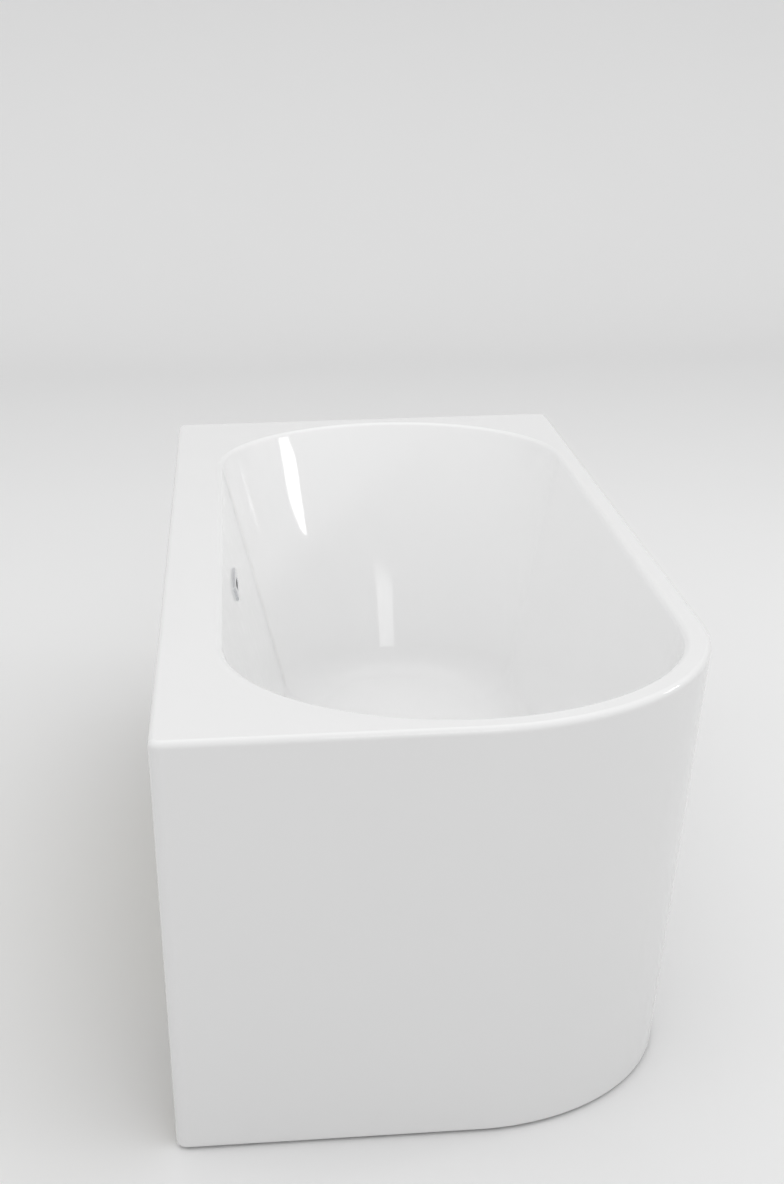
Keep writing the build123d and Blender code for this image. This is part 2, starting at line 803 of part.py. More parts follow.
# Waste body: collar, tube round the flange, bend to the outlet socket, and the overflow's inlet
collar_top = pad_underside - lower_washer_thickness
body_bore_bottom = flange_bottom - flange_tube_length - waste_wall
body_outer = flange_tube_radius + hole_play + waste_wall
elbow_outer = waste_bore_radius + waste_wall
socket_outer = socket_radius + socket_wall
socket_start = basin_y + outlet_bend_radius + waste_wall
socket_end = socket_start + socket_depth
spigot_radius = hose_bore - hose_play
spigot_bore = spigot_radius - spigot_wall
inlet_tip_x = basin_x - hose_inlet_reach
with BuildPart() as waste_body:
    with BuildSketch(Plane((basin_x, basin_y, collar_top))):
        Circle(waste_collar_radius)
    extrude(amount=-waste_collar_thickness)
    with BuildSketch(Plane((basin_x, basin_y, collar_top))):
        Circle(body_outer)
    extrude(amount=-(collar_top - body_bore_bottom + waste_wall))
    with BuildLine() as elbow_path:
        FilletPolyline(
            (basin_x, basin_y, body_bore_bottom),
            (basin_x, basin_y, outlet_axis_height),
            (basin_x, socket_start, outlet_axis_height),
            radius=outlet_bend_radius,
        )
    with BuildSketch(Plane(origin=(basin_x, basin_y, body_bore_bottom), z_dir=(0, 0, -1))):
        Circle(elbow_outer)
    sweep(path=elbow_path.line)
    with BuildSketch(Plane(origin=(basin_x, socket_start, outlet_axis_height), z_dir=(0, 1, 0))):
        Circle(socket_outer)
    extrude(amount=socket_depth)
    with BuildSketch(Plane(origin=(basin_x, socket_start, outlet_axis_height), z_dir=(0, -1, 0))):
        Circle(socket_outer)
    extrude(amount=waste_wall)
    with BuildSketch(Plane(origin=(basin_x, basin_y, hose_inlet_height), z_dir=(-1, 0, 0))):
        Circle(spigot_radius)
    extrude(amount=hose_inlet_reach)
    with BuildSketch(Plane((basin_x, basin_y, collar_top))):
        Circle(flange_tube_radius + hole_play)
    extrude(amount=-(collar_top - body_bore_bottom), mode=Mode.SUBTRACT)
    with BuildSketch(Plane(origin=(basin_x, basin_y, body_bore_bottom), z_dir=(0, 0, -1))):
        Circle(waste_bore_radius)
    sweep(path=elbow_path.line, mode=Mode.SUBTRACT)
    with BuildSketch(Plane(origin=(basin_x, socket_start, outlet_axis_height), z_dir=(0, 1, 0))):
        Circle(socket_radius)
    extrude(amount=socket_depth, mode=Mode.SUBTRACT)
    with BuildSketch(Plane(origin=(basin_x, basin_y, hose_inlet_height), z_dir=(-1, 0, 0))):
        Circle(spigot_bore)
    extrude(amount=hose_inlet_reach, mode=Mode.SUBTRACT)
save(waste_body.part, "waste_body")

# Compression nut and seal on the outlet
nut_end = socket_end + 2 * outlet_seal_length
with BuildPart() as outlet_nut:
    with BuildSketch(Plane(origin=(basin_x, nut_end, outlet_axis_height), z_dir=(0, -1, 0))):
        RegularPolygon(outlet_nut_radius, 8)
    extrude(amount=outlet_nut_length)
    with BuildSketch(Plane(origin=(basin_x, nut_end, outlet_axis_height), z_dir=(0, -1, 0))):
        Circle(socket_radius + outlet_nut_play)
    extrude(amount=outlet_nut_length, mode=Mode.SUBTRACT)
    with BuildSketch(
        Plane(
            origin=(basin_x, nut_end - outlet_seal_length, outlet_axis_height), z_dir=(0, -1, 0)
        )
    ):
        Circle(socket_outer + hole_play)
    extrude(amount=outlet_nut_length, mode=Mode.SUBTRACT)
save(outlet_nut.part, "outlet_nut")

with BuildPart() as outlet_seal:
    with BuildSketch(Plane(origin=(basin_x, socket_end, outlet_axis_height), z_dir=(0, 1, 0))):
        Circle(socket_outer)
        Circle(socket_radius + outlet_nut_play / 2, mode=Mode.SUBTRACT)
    extrude(amount=outlet_seal_length)
save(outlet_seal.part, "outlet_seal")

# Push plug: cartridge with a spring, and a stem that carries the cap and its seal
cartridge_top = spider_top + cartridge_wall
cartridge_bottom = cartridge_top - cartridge_length
cartridge_bore = cartridge_radius - cartridge_wall
with BuildPart() as plug_cartridge:
    with BuildSketch(Plane((basin_x, basin_y, cartridge_top))):
        Circle(cartridge_radius)
    extrude(amount=-cartridge_length)
    with BuildSketch(Plane((basin_x, basin_y, cartridge_top))):
        Circle(cartridge_radius + cartridge_wall)
    extrude(amount=-cartridge_wall)
    with BuildSketch(Plane((basin_x, basin_y, cartridge_bottom + cartridge_wall))):
        Circle(cartridge_bore)
    extrude(amount=cartridge_length - 2 * cartridge_wall, mode=Mode.SUBTRACT)
    with BuildSketch(Plane((basin_x, basin_y, cartridge_top))):
        Circle(stem_radius + hole_play)
    extrude(amount=-2 * cartridge_wall, mode=Mode.SUBTRACT)
save(plug_cartridge.part, "plug_cartridge")

seal_bottom = flange_top + bond + plug_travel
cap_bottom = seal_bottom + plug_seal_thickness
cap_top = cap_bottom + cap_edge + cap_dome
collar_top_z = cartridge_top - cartridge_wall - bond
with BuildPart() as plug_cap:
    with BuildSketch(Plane(origin=(basin_x, basin_y, 0), x_dir=(1, 0, 0), z_dir=(0, -1, 0))):
        with BuildLine():
            crown = ThreePointArc(
                (0, cap_top),
                (cap_radius / 2, cap_bottom + cap_edge + cap_dome * 3 / 4),
                (cap_radius, cap_bottom + cap_edge),
            )
            Polyline(
                crown @ 1,
                (cap_radius, cap_bottom),
                (hub_radius, cap_bottom),
                (hub_radius, cap_bottom - hub_depth),
                (0, cap_bottom - hub_depth),
                crown @ 0,
            )
        make_face()
    revolve(axis=Axis((basin_x, basin_y, 0), (0, 0, 1)))
    with BuildSketch(Plane((basin_x, basin_y, cap_bottom - hub_depth))):
        Circle(stem_radius + cartridge_fit)
    extrude(amount=hub_depth, mode=Mode.SUBTRACT)
save(plug_cap.part, "plug_cap")

with BuildPart() as plug_seal:
    with BuildSketch(Plane((basin_x, basin_y, seal_bottom))):
        Circle(plug_seal_radius)
        Circle(plug_seal_bore, mode=Mode.SUBTRACT)
    extrude(amount=plug_seal_thickness)
save(plug_seal.part, "plug_seal")

with BuildPart() as plug_stem:
    with BuildSketch(Plane((basin_x, basin_y, cap_bottom))):
        Circle(stem_radius)
    extrude(amount=-(cap_bottom - collar_top_z))
    with BuildSketch(Plane((basin_x, basin_y, collar_top_z))):
        Circle(stem_collar_radius)
    extrude(amount=-stem_collar_height)
    with BuildSketch(Plane((basin_x, basin_y, collar_top_z - stem_collar_height))):
        Circle(stem_tail_radius)
    extrude(amount=-stem_tail_length)
save(plug_stem.part, "plug_stem")

spring_bottom = cartridge_bottom + cartridge_wall + spring_wire / 2
spring_top = collar_top_z - stem_collar_height - spring_wire / 2
spring_radius = stem_radius + spring_wire
with BuildPart() as plug_spring:
    with BuildLine() as coil:
        Helix(
            pitch=(spring_top - spring_bottom) / spring_turns,
            height=spring_top - spring_bottom,
            radius=spring_radius,
            center=(basin_x, basin_y, spring_bottom),
        )
    with BuildSketch(Plane(origin=coil.line @ 0, z_dir=coil.line % 0)):
        RegularPolygon(spring_wire / 2, spring_wire_sides)
    sweep(path=coil.line, is_frenet=True)
save(plug_spring.part, "plug_spring")

# Overflow: chrome cover, insert through the wall, screws, washer and box behind the wall
with BuildPart() as overflow_plate:
    with BuildSketch(overflow_plane):
        Rectangle(overflow_length, overflow_height)
    extrude(amount=overflow_thickness)
    chamfer(
        overflow_plate.faces().sort_by(overflow_axis)[-1].edges(), overflow_bevel
    )
    with BuildSketch(overflow_plane):
        Rectangle(insert_length + 2 * hole_play, insert_height + 2 * hole_play)
    extrude(amount=2 * insert_flange + hole_play, mode=Mode.SUBTRACT)
    with BuildSketch(overflow_plane):
        RectangleRounded(overflow_slot_length, overflow_slot_height, overflow_bevel)
    extrude(amount=overflow_thickness, mode=Mode.SUBTRACT)
save(overflow_plate.part, "overflow_plate")

with BuildPart() as overflow_insert:
    with BuildSketch(overflow_plane):
        Rectangle(insert_length, insert_height)
    extrude(amount=insert_flange)
    with BuildSketch(overflow_plane):
        SlotOverall(insert_tube_length, insert_tube_height)
        SlotOverall(
            insert_tube_length - 2 * insert_wall,
            insert_tube_height - 2 * insert_wall,
            mode=Mode.SUBTRACT,
        )
    extrude(amount=-(skins + overflow_washer))
    with BuildSketch(overflow_plane):
        RectangleRounded(overflow_slot_length, overflow_slot_height, overflow_bevel)
        with GridLocations(overflow_screw_spacing, 0, 2, 1):
            Circle(overflow_screw_radius + hole_play)
    extrude(amount=insert_flange, mode=Mode.SUBTRACT)
save(overflow_insert.part, "overflow_insert")

with BuildPart() as overflow_seal:
    with BuildSketch(overflow_plane.offset(-skins)):
        Rectangle(box_flange_length, box_flange_height)
        SlotOverall(overflow_hole_length, overflow_hole_height, mode=Mode.SUBTRACT)
    extrude(amount=-overflow_washer)
save(overflow_seal.part, "overflow_seal")

box_front = overflow_plane.offset(-skins - overflow_washer)
box_length = box_flange_length - 2 * box_shoulder_length
box_height = box_flange_height - 2 * box_shoulder_height
box_floor = box_flange_thickness + box_depth
spigot_root = box_front.from_local_coords(
    Vector(0, -box_height / 2 + box_wall / 2, -box_flange_thickness - box_depth / 2)
)
spigot_length_total = spigot_length + box_wall
with BuildPart() as overflow_box:
    with BuildSketch(box_front):
        Rectangle(box_flange_length, box_flange_height)
    extrude(amount=-box_flange_thickness)
    with BuildSketch(box_front):
        Rectangle(box_length, box_height)
    extrude(amount=-box_floor)
    with BuildSketch(Plane(origin=spigot_root, z_dir=(0, 0, -1))):
        Circle(spigot_radius)
    extrude(amount=spigot_length_total)
    with BuildSketch(box_front):
        Rectangle(box_length - 2 * box_wall, box_height - 2 * box_wall)
    extrude(amount=-(box_floor - box_wall), mode=Mode.SUBTRACT)
    with BuildSketch(Plane(origin=spigot_root + Vector(0, 0, box_wall), z_dir=(0, 0, -1))):
        Circle(spigot_bore)
    extrude(amount=spigot_length_total + box_wall, mode=Mode.SUBTRACT)
    with BuildSketch(box_front):
        with GridLocations(overflow_screw_spacing, 0, 2, 1):
            Circle(box_boss_radius)
    extrude(amount=-box_floor)
    with BuildSketch(box_front):
        with GridLocations(overflow_screw_spacing, 0, 2, 1):
            Circle(overflow_screw_radius + hole_play)
    extrude(amount=-(box_floor - box_wall), mode=Mode.SUBTRACT)
save(overflow_box.part, "overflow_box")

overflow_screw_parts = [
    screw_form(
        Plane(
            origin=overflow_plane.from_local_coords(Vector(shift, 0, insert_flange)),
            x_dir=overflow_plane.x_dir,
            z_dir=overflow_plane.z_dir,
        ),
        overflow_screw_radius,
        overflow_screw_head_radius,
        insert_flange,
        insert_flange + skins + overflow_washer + screw_bite,
    )
    for shift in (-overflow_screw_spacing / 2, overflow_screw_spacing / 2)
]
with BuildPart() as overflow_screws:
    add(overflow_screw_parts)
save(overflow_screws.part, "overflow_screws")

# Overflow hose: straight down from the box, one large bend, then along to the waste body
hose_x = spigot_root.X
hose_nut_outer = hose_nut_radius + grip_rib_radius
hose_top = spigot_root.Z - box_wall - hose_nut_outer * side_slope - hose_play
hose_end_x = basin_x - elbow_outer - waste_wall
with BuildPart() as overflow_hose:
    with BuildLine() as hose_path:
        FilletPolyline(
            (hose_x, basin_y, hose_top),
            (hose_x, basin_y, hose_inlet_height),
            (hose_end_x, basin_y, hose_inlet_height),
            radius=hose_bend_radius,
        )
    with BuildSketch(Plane(origin=(hose_x, basin_y, hose_top), z_dir=(0, 0, -1))):
        Circle(hose_radius)
        Circle(hose_bore, mode=Mode.SUBTRACT)
    sweep(path=hose_path.line)
save(overflow_hose.part, "overflow_hose")
hose_section = pi * (hose_radius**2 - hose_bore**2)
hose_length = hose_path.wires()[0].length
print("hose bend radius", hose_bend_radius, "and length", round(hose_length, 1))
print("hose volume over section times length", overflow_hose.part.volume / hose_section / hose_length)

# Ribbed nuts that clamp the hose on its two spigots
for name, plane in (
    ("hose_nut_top", Plane(origin=(hose_x, basin_y, hose_top), z_dir=(0, 0, -1))),
    (
        "hose_nut_bottom",
        Plane(origin=(hose_end_x, basin_y, hose_inlet_height), z_dir=(-1, 0, 0)),
    ),
):
    with BuildPart() as hose_nut:
        with BuildSketch(plane):
            Circle(hose_nut_radius)
            with PolarLocations(hose_nut_radius, grip_ribs):
                Circle(grip_rib_radius)
            Circle(hose_radius + hose_play, mode=Mode.SUBTRACT)
        extrude(amount=hose_nut_length)
    save(hose_nut.part, name)
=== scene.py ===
"""Looks of a back-to-wall corner bath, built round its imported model.

The frame gives the place of every piece. The bath stands on Z = 0 with its long wall side at -X and
its short wall side at +Y. Sizes are in metres.
"""
import math

import bmesh
import bpy
import numpy as np
from bpy.props import FloatProperty, FloatVectorProperty, PointerProperty
from mathutils import Matrix, Vector


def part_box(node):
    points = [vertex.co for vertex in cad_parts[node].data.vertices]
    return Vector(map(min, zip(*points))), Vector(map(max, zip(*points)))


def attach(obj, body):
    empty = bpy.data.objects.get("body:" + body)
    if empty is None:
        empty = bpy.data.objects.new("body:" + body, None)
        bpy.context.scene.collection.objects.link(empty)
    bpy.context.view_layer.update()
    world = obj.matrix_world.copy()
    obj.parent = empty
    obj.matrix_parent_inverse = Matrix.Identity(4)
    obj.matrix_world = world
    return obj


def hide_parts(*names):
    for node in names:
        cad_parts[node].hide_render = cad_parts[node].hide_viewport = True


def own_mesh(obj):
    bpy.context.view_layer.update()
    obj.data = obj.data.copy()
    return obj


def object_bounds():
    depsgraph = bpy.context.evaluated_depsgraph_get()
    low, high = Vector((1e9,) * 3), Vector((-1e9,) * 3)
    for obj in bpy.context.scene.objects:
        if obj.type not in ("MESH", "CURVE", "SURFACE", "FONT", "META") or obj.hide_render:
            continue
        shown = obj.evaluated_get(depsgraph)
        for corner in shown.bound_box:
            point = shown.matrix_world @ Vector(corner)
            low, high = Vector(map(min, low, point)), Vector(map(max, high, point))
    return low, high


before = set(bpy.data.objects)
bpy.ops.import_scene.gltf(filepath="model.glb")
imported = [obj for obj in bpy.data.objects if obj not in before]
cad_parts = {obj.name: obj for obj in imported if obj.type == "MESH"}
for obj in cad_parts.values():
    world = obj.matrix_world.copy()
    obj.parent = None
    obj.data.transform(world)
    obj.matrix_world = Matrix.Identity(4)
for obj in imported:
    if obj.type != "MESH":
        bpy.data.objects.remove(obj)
CAD_LOW, CAD_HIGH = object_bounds()

bl_info = {
    "name": "Corner bath",
    "version": (1, 0, 0),
    "blender": (4, 5, 0),
    "location": "View3D > Sidebar > Bath",
    "description": "Builds the visible surfaces and finishes of a back-to-wall corner bath",
    "category": "Object",
}

MM = 0.001
FULL_TURN = 2 * math.pi
RIGHT_ANGLE = math.pi / 2
SMOOTH_ANGLE = math.radians(35)
MERGE_DISTANCE = 1e-6
FLAT_ANGLE = math.radians(0.5)
BOND = 0.3 * MM
ARC_STEPS = 40
SIDE_STEPS = 8
SIDE_SUPPORT = 0.004
OVERFLOW_DROP = 75 * MM
OVERFLOW_HOLE = (92 * MM, 15 * MM)


# Sizes and colours


def linear(hex_colour):
    """Linear RGB of an sRGB hex colour such as "f2f2f0"."""
    values = np.array([int(hex_colour[i : i + 2], 16) for i in (0, 2, 4)]) / 255
    low = values / 12.92
    high = ((values + 0.055) / 1.055) ** 2.4
    return tuple(float(value) for value in np.where(values <= 0.04045, low, high))


def length(name, description, default):
    """Length property in metres, written in millimetres."""
    return FloatProperty(name=name, description=description, default=default * MM, unit="LENGTH")


def colour(name, description, hex_colour):
    """Colour property, written as an sRGB hex colour."""
    return FloatVectorProperty(
        name=name, description=description, default=linear(hex_colour), subtype="COLOR", min=0, max=1
    )


class BathSizes(bpy.types.PropertyGroup):
    """Sizes of the bath's skins and fittings."""

    taper: length("Taper", "How far the exposed faces lean in by the floor", 65)
    wall_taper: length("Wall side taper", "How far the wall side leans in by the floor", 4)
    corner: length("Small corner", "Radius of the three small corners in plan", 16)
    big_corner: length("Large corner", "Radius of the exposed corner in plan", 349)
    edge: length("Top edge", "Radius of the rim's outer edge", 8)
    inner_edge: length("Inner edge", "Radius of the rim's inner edge", 10)
    opening_width: length("Opening width", "Width of the basin's opening", 630)
    opening_length: length("Opening length", "Length of the basin's opening", 1620)
    ledge: length("Ledge", "Width of the rim on the wall side", 86)
    rim: length("Rim", "Width of the rim on the exposed sides", 34)
    floor_width: length("Floor width", "Width of the basin at its floor", 400)
    floor_length: length("Floor length", "Length of the basin at its floor", 1190)
    depth: length("Depth", "Depth of the basin", 455)
    floor_fillet: length("Floor fillet", "Radius between the basin's wall and floor", 80)
    acrylic: length("Sheet", "Thickness of the moulded sheet", 5)
    lip: length("Lip", "Depth of the rim's turned-down lip", 10)
    wall_lip: length("Wall lip", "Depth of the lip on the wall sides", 45)
    skirt_return: length("Skirt return", "Length of the skirt's returns on the wall sides", 80)
    skirt_flange: length("Skirt flange", "Width of the flange under the skirt", 18)
    skirt_gap: length("Floor gap", "Gap between the skirt and the floor", 4)
    backing: length("Backing", "Thickness of the glass-fibre backing", 4)
    recess: length("Drain recess", "Radius of the sunk seat round the drain", 39)
    drain: length("Drain hole", "Radius of the hole in the basin's floor", 25)
    pad: length("Drain pad", "Radius of the thick ring under the drain", 48)
    rib_pitch: length("Hose ribs", "Spacing of the hose's ribs", 4)
    thread_pitch: length("Thread", "Pitch of the levelling feet's thread", 1.75)


class BathColours(bpy.types.PropertyGroup):
    """Colours of the finishes."""

    acrylic: colour("Acrylic", "White moulded sheet", "f6f6f6")
    resin: colour("Resin", "Glass-fibre backing", "cfcab4")
    plywood: colour("Plywood", "Face of the board", "c79f70")
    softwood: colour("Softwood", "Planed battens", "d9b681")
    zinc: colour("Zinc", "Galvanised tubes", "b4b8ba")
    plating: colour("Zinc plate", "Screws, nuts and bolts", "c6c5bf")
    chrome: colour("Chrome", "Drain, plug and overflow cover", "dcdee0")
    white_plastic: colour("White plastic", "Drain body and nuts", "dfe0dd")
    grey_plastic: colour("Grey plastic", "Hose and overflow box", "7b8082")
    black_plastic: colour("Black plastic", "Pads and end caps", "1b1b1c")
    rubber: colour("Rubber", "Seals", "202020")
    steel: colour("Stainless steel", "Stem, spring and overflow screws", "bdbdbb")
    floor: colour("Floor", "Floor and backdrop of the stage, as they light the bath", "bababa")
    floor_seen: colour("Floor seen", "Floor and backdrop of the stage, as they show", "f4f4f4")


# Grids of points


def corner_plan(arc_steps, side_shares):
    """Columns of a closed row that goes round four corners, anticlockwise from the near right one.

    Each corner is a quarter turn of equal steps, and each side after it has columns at the given
    shares of its length. A column holds its corner, the next corner, its share of the way between
    them and its direction.
    """
    first, share, angle = [], [], []
    for corner in range(4):
        start = (corner - 1) * RIGHT_ANGLE
        turns = np.linspace(start, start + RIGHT_ANGLE, arc_steps + 1)
        shares = np.asarray(side_shares[corner])
        first += [np.full(len(turns) + len(shares), corner)]
        share += [np.zeros(len(turns)), shares]
        angle += [turns, np.full(len(shares), start + RIGHT_ANGLE)]
    first = np.concatenate(first)
    return {
        "first": first,
        "next": (first + 1) % 4,
        "share": np.concatenate(share),
        "angle": np.concatenate(angle),
        "x": np.cos(np.concatenate(angle)),
        "y": np.sin(np.concatenate(angle)),
    }


def plan_row(plan, centres_x, centres_y, radii, height):
    """Row of points of a corner plan at a height.

    A point is its corner's centre plus the corner's radius along the column's direction. On a side
    it is mixed between its two corners in proportion to the column's share.
    """
    count = len(plan["share"])
    columns = np.arange(count)
    points = np.zeros((count, 3))
    for corner, weight in ((plan["first"], 1 - plan["share"]), (plan["next"], plan["share"])):
        centre_x, centre_y, radius = (
            np.broadcast_to(np.asarray(values, float).reshape(4, -1), (4, count))[corner, columns]
            for values in (centres_x, centres_y, radii)
        )
        points[:, 0] += weight * (centre_x + radius * plan["x"])
        points[:, 1] += weight * (centre_y + radius * plan["y"])
    points[:, 2] = height
    return points


def grid_faces(rows, columns, close_rows=False, close_columns=False):
    """Quads of a grid of points counted row by row, joined end to end where a direction is closed."""
    row = np.arange(rows if close_rows else rows - 1)[:, None]
    column = np.arange(columns if close_columns else columns - 1)[None, :]
    next_row, next_column = (row + 1) % rows, (column + 1) % columns
    corners = (
        row * columns + column,
        row * columns + next_column,
        next_row * columns + next_column,
        next_row * columns + column,
    )
    return np.stack(corners, axis=-1).reshape(-1, 4).tolist()


def grid(points, close_rows=False, close_columns=False, caps=False):
    """Surface of a grid of points with shape (rows, columns, 3), as points and faces.

    With caps, the first and last rows of a grid whose columns are closed are filled with one face
    each.
    """
    points = np.asarray(points, float)
    rows, columns = points.shape[:2]
    faces = grid_faces(rows, columns, close_rows, close_columns)
    if caps:
        faces += [list(range(columns)), list(range((rows - 1) * columns, rows * columns))]
    return points.reshape(-1, 3), faces


def turned(profile, centre, columns=48, limit=None, closed=False):
    """Surface of a profile of (radius, height) points turned about an upright axis through a centre.

    limit, if given, is a function of the angle and the height that the radius may not pass, which
    cuts flats such as a nut's.
    """
    profile = np.asarray(profile, float)
    angle = np.linspace(0, FULL_TURN, columns, endpoint=False)[None, :]
    radius = np.repeat(profile[:, :1], columns, axis=1)
    height = np.repeat(profile[:, 1:], columns, axis=1)
    if limit is not None:
        radius = np.minimum(radius, limit(angle, height))
    local = np.stack([radius * np.cos(angle), radius * np.sin(angle), height], axis=-1)
    return grid(local + np.asarray(centre, float), close_rows=closed, close_columns=True)


def place(local, centre, axis):
    """Points of a frame whose Z is the axis, moved to a centre."""
    turn = np.array(Vector((0, 0, 1)).rotation_difference(Vector(axis)).to_matrix())
    return local @ turn.T + np.asarray(centre, float)


def round_rectangle(half_x, half_y, corner, steps=5):
    """Offsets round a rectangle with round corners: each corner's centre plus a quarter turn."""
    angle = np.concatenate([np.linspace(k, k + 1, steps + 1) * RIGHT_ANGLE for k in range(4)])
    side_x = np.repeat([1, -1, -1, 1], steps + 1)
    side_y = np.repeat([1, 1, -1, -1], steps + 1)
    x = side_x * (half_x - corner) + corner * np.cos(angle)
    return x, side_y * (half_y - corner) + corner * np.sin(angle)


def hexagon(across_flats):
    """Limit of a radius to a hexagon: half the width over the cosine from the nearest flat."""

    def limit(angle, height):
        nearest = (angle + math.pi / 6) % (math.pi / 3) - math.pi / 6
        return across_flats / 2 / np.cos(nearest) + 0 * height

    return limit


# Pieces


def piece(name, surfaces, slot, body, replaces):
    """One smooth-shaded piece made of surfaces, each points and faces, in the place of CAD nodes."""
    points, faces, start = [], [], 0
    for surface_points, surface_faces in surfaces:
        points.append(surface_points)
        faces += [[index + start for index in face] for face in surface_faces]
        start += len(surface_points)
    mesh = bpy.data.meshes.new(name)
    mesh.from_pydata(np.concatenate(points).tolist(), [], faces)
    clean(mesh)
    return finished(name, mesh, slot, body, replaces)


def clean(mesh):
    """Merge doubled points, drop what collapses, and turn every face outwards."""
    work = bmesh.new()
    work.from_mesh(mesh)
    bmesh.ops.remove_doubles(work, verts=work.verts, dist=MERGE_DISTANCE)
    bmesh.ops.dissolve_degenerate(work, edges=work.edges, dist=MERGE_DISTANCE / 10)
    bmesh.ops.recalc_face_normals(work, faces=work.faces)
    work.to_mesh(mesh)
    work.free()


def finished(name, mesh, slot, body, replaces):
    """Object of a mesh with its shading, finish and place among the CAD bodies."""
    mesh.shade_smooth()
    mesh.set_sharp_from_angle(angle=SMOOTH_ANGLE)
    mesh.materials.append(finish(slot))
    item = bpy.data.objects.new(name, mesh)
    bpy.context.collection.objects.link(item)
    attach(item, body)
    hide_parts(*replaces)
    return item


def softened(node, slot, body, width):
    """Copy of a CAD node with its flat faces joined up and its edges broken by a small bevel."""
    work = bmesh.new()
    work.from_mesh(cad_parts[node].data)
    bmesh.ops.remove_doubles(work, verts=work.verts, dist=MERGE_DISTANCE)
    bmesh.ops.dissolve_limit(work, angle_limit=FLAT_ANGLE, verts=work.verts, edges=work.edges)
    mesh = bpy.data.meshes.new(node + "_finish")
    work.to_mesh(mesh)
    work.free()
    item = finished(node + "_finish", mesh, slot, body, [node])
    bevel = item.modifiers.new("broken edges", "BEVEL")
    bevel.width = width
    bevel.segments = 2
    bevel.limit_method = "ANGLE"
    bevel.angle_limit = SMOOTH_ANGLE
    bevel.harden_normals = True
    return item


def cut(item, cutter_surface):
    """Cut a closed surface out of a piece with an exact Boolean, and shade it again."""
    cutter_mesh = bpy.data.meshes.new("cutter")
    cutter_mesh.from_pydata(cutter_surface[0].tolist(), [], cutter_surface[1])
    clean(cutter_mesh)
    cutter = bpy.data.objects.new("cutter", cutter_mesh)
    bpy.context.collection.objects.link(cutter)
    boolean = item.modifiers.new("cut", "BOOLEAN")
    boolean.operation = "DIFFERENCE"
    boolean.solver = "EXACT"
    boolean.object = cutter
    graph = bpy.context.evaluated_depsgraph_get()
    result = bpy.data.meshes.new_from_object(item.evaluated_get(graph))
    item.modifiers.remove(boolean)
    item.data = result
    bpy.data.objects.remove(cutter)
    bpy.data.meshes.remove(cutter_mesh)
    result.shade_smooth()
    result.set_sharp_from_angle(angle=SMOOTH_ANGLE)


# Form of the bath


class Basin:
    """The basin's wall, a stadium in plan that narrows evenly with depth.

    At a drop below the rim its half width is less by the side slope times the drop, and its half
    length by the end slope times the drop. Grow moves the wall outwards in plan, for the outside of
    the sheet.
    """

    def __init__(self, sizes, plan):
        self.plan = plan
        self.height = CAD_HIGH.z
        self.centre_x = CAD_LOW.x + sizes.ledge + sizes.opening_width / 2
        self.centre_y = CAD_LOW.y + sizes.rim + sizes.opening_length / 2
        self.half_width = sizes.opening_width / 2
        self.half_length = sizes.opening_length / 2
        self.side_slope = (sizes.opening_width - sizes.floor_width) / 2 / sizes.depth
        self.end_slope = (sizes.opening_length - sizes.floor_length) / 2 / sizes.depth
        sine = np.abs(plan["y"])
        self.slope = self.side_slope + (self.end_slope - self.side_slope) * sine
        self.stretch = np.sqrt(1 + self.slope**2)

    def wall(self, height, grow=0.0):
        """Row on the wall at a height, which may differ from column to column."""
        drop = self.height - np.asarray(height)
        radius = self.half_width - self.side_slope * drop + grow
        run = self.half_length - self.half_width - (self.end_slope - self.side_slope) * drop
        run = np.broadcast_to(run, (len(self.slope),))
        centres_y = self.centre_y + np.stack([-run, run, run, -run])
        radii = np.broadcast_to(radius, (4, len(self.slope)))
        return plan_row(self.plan, [self.centre_x] * 4, centres_y, radii, height)

    def contact(self, level, ball, side):
        """Height at which a ball that touches a level face also touches the wall."""
        return level - side * ball * (1 - self.slope / self.stretch)

    def rolled(self, level, ball, side, steps, grow=0.0):
        """Rows of the round left by a ball that rolls between the wall and a level face.

        Side is 1 for the rim, where the ball is in the sheet, and -1 for the floor, where it is in
        the basin. From the wall to the level face the direction to the ball's surface turns from
        the wall's slope to upright.
        """
        wall = self.wall(self.contact(level, ball, side), grow)
        rows = []
        for share in np.linspace(0, 1, steps + 1):
            angle = np.arctan(self.slope)
            angle = angle + (RIGHT_ANGLE - angle) * share
            reach = side * ball * (1 / self.stretch - np.cos(angle))
            row = wall.copy()
            row[:, 0] += reach * self.plan["x"]
            row[:, 1] += reach * self.plan["y"]
            row[:, 2] = level - side * ball * (1 - np.sin(angle))
            rows.append(row)
        return rows

    def circle(self, radius, height):
        """Row on a circle round the drain's axis."""
        return plan_row(self.plan, [self.centre_x] * 4, [self.centre_y] * 4, [radius] * 4, height)


class Outline:
    """The bath's outer form, a rectangle with one large corner that leans in towards the floor."""

    def __init__(self, sizes, plan):
        self.sizes = sizes
        self.plan = plan
        self.taper_top = CAD_HIGH.z - sizes.edge

    def row(self, height, shrink=0.0):
        """Row of the outer form at a height, drawn in by shrink.

        The exposed faces lean in by the taper times the share of the height below the top edge, and
        the large corner's radius shrinks by as much.
        """
        sizes = self.sizes
        fall = np.maximum(0, 1 - np.asarray(height) / self.taper_top)
        small = np.maximum(sizes.corner - shrink, MM)
        big = sizes.big_corner - sizes.taper * fall - shrink
        low_x = CAD_LOW.x + sizes.wall_taper * fall + shrink + small
        high_x = CAD_HIGH.x - sizes.taper * fall - shrink
        low_y = CAD_LOW.y + sizes.taper * fall + shrink
        high_y = CAD_HIGH.y - shrink - small
        count = len(self.plan["share"])
        centres_x = [high_x - big, high_x - small, low_x, low_x]
        centres_y = [low_y + big, high_y, high_y, low_y + small]
        radii = [big, small, small, small]
        spread = [
            np.stack([np.broadcast_to(value, (count,)) for value in values])
            for values in (centres_x, centres_y, radii)
        ]
        return plan_row(self.plan, *spread, height)


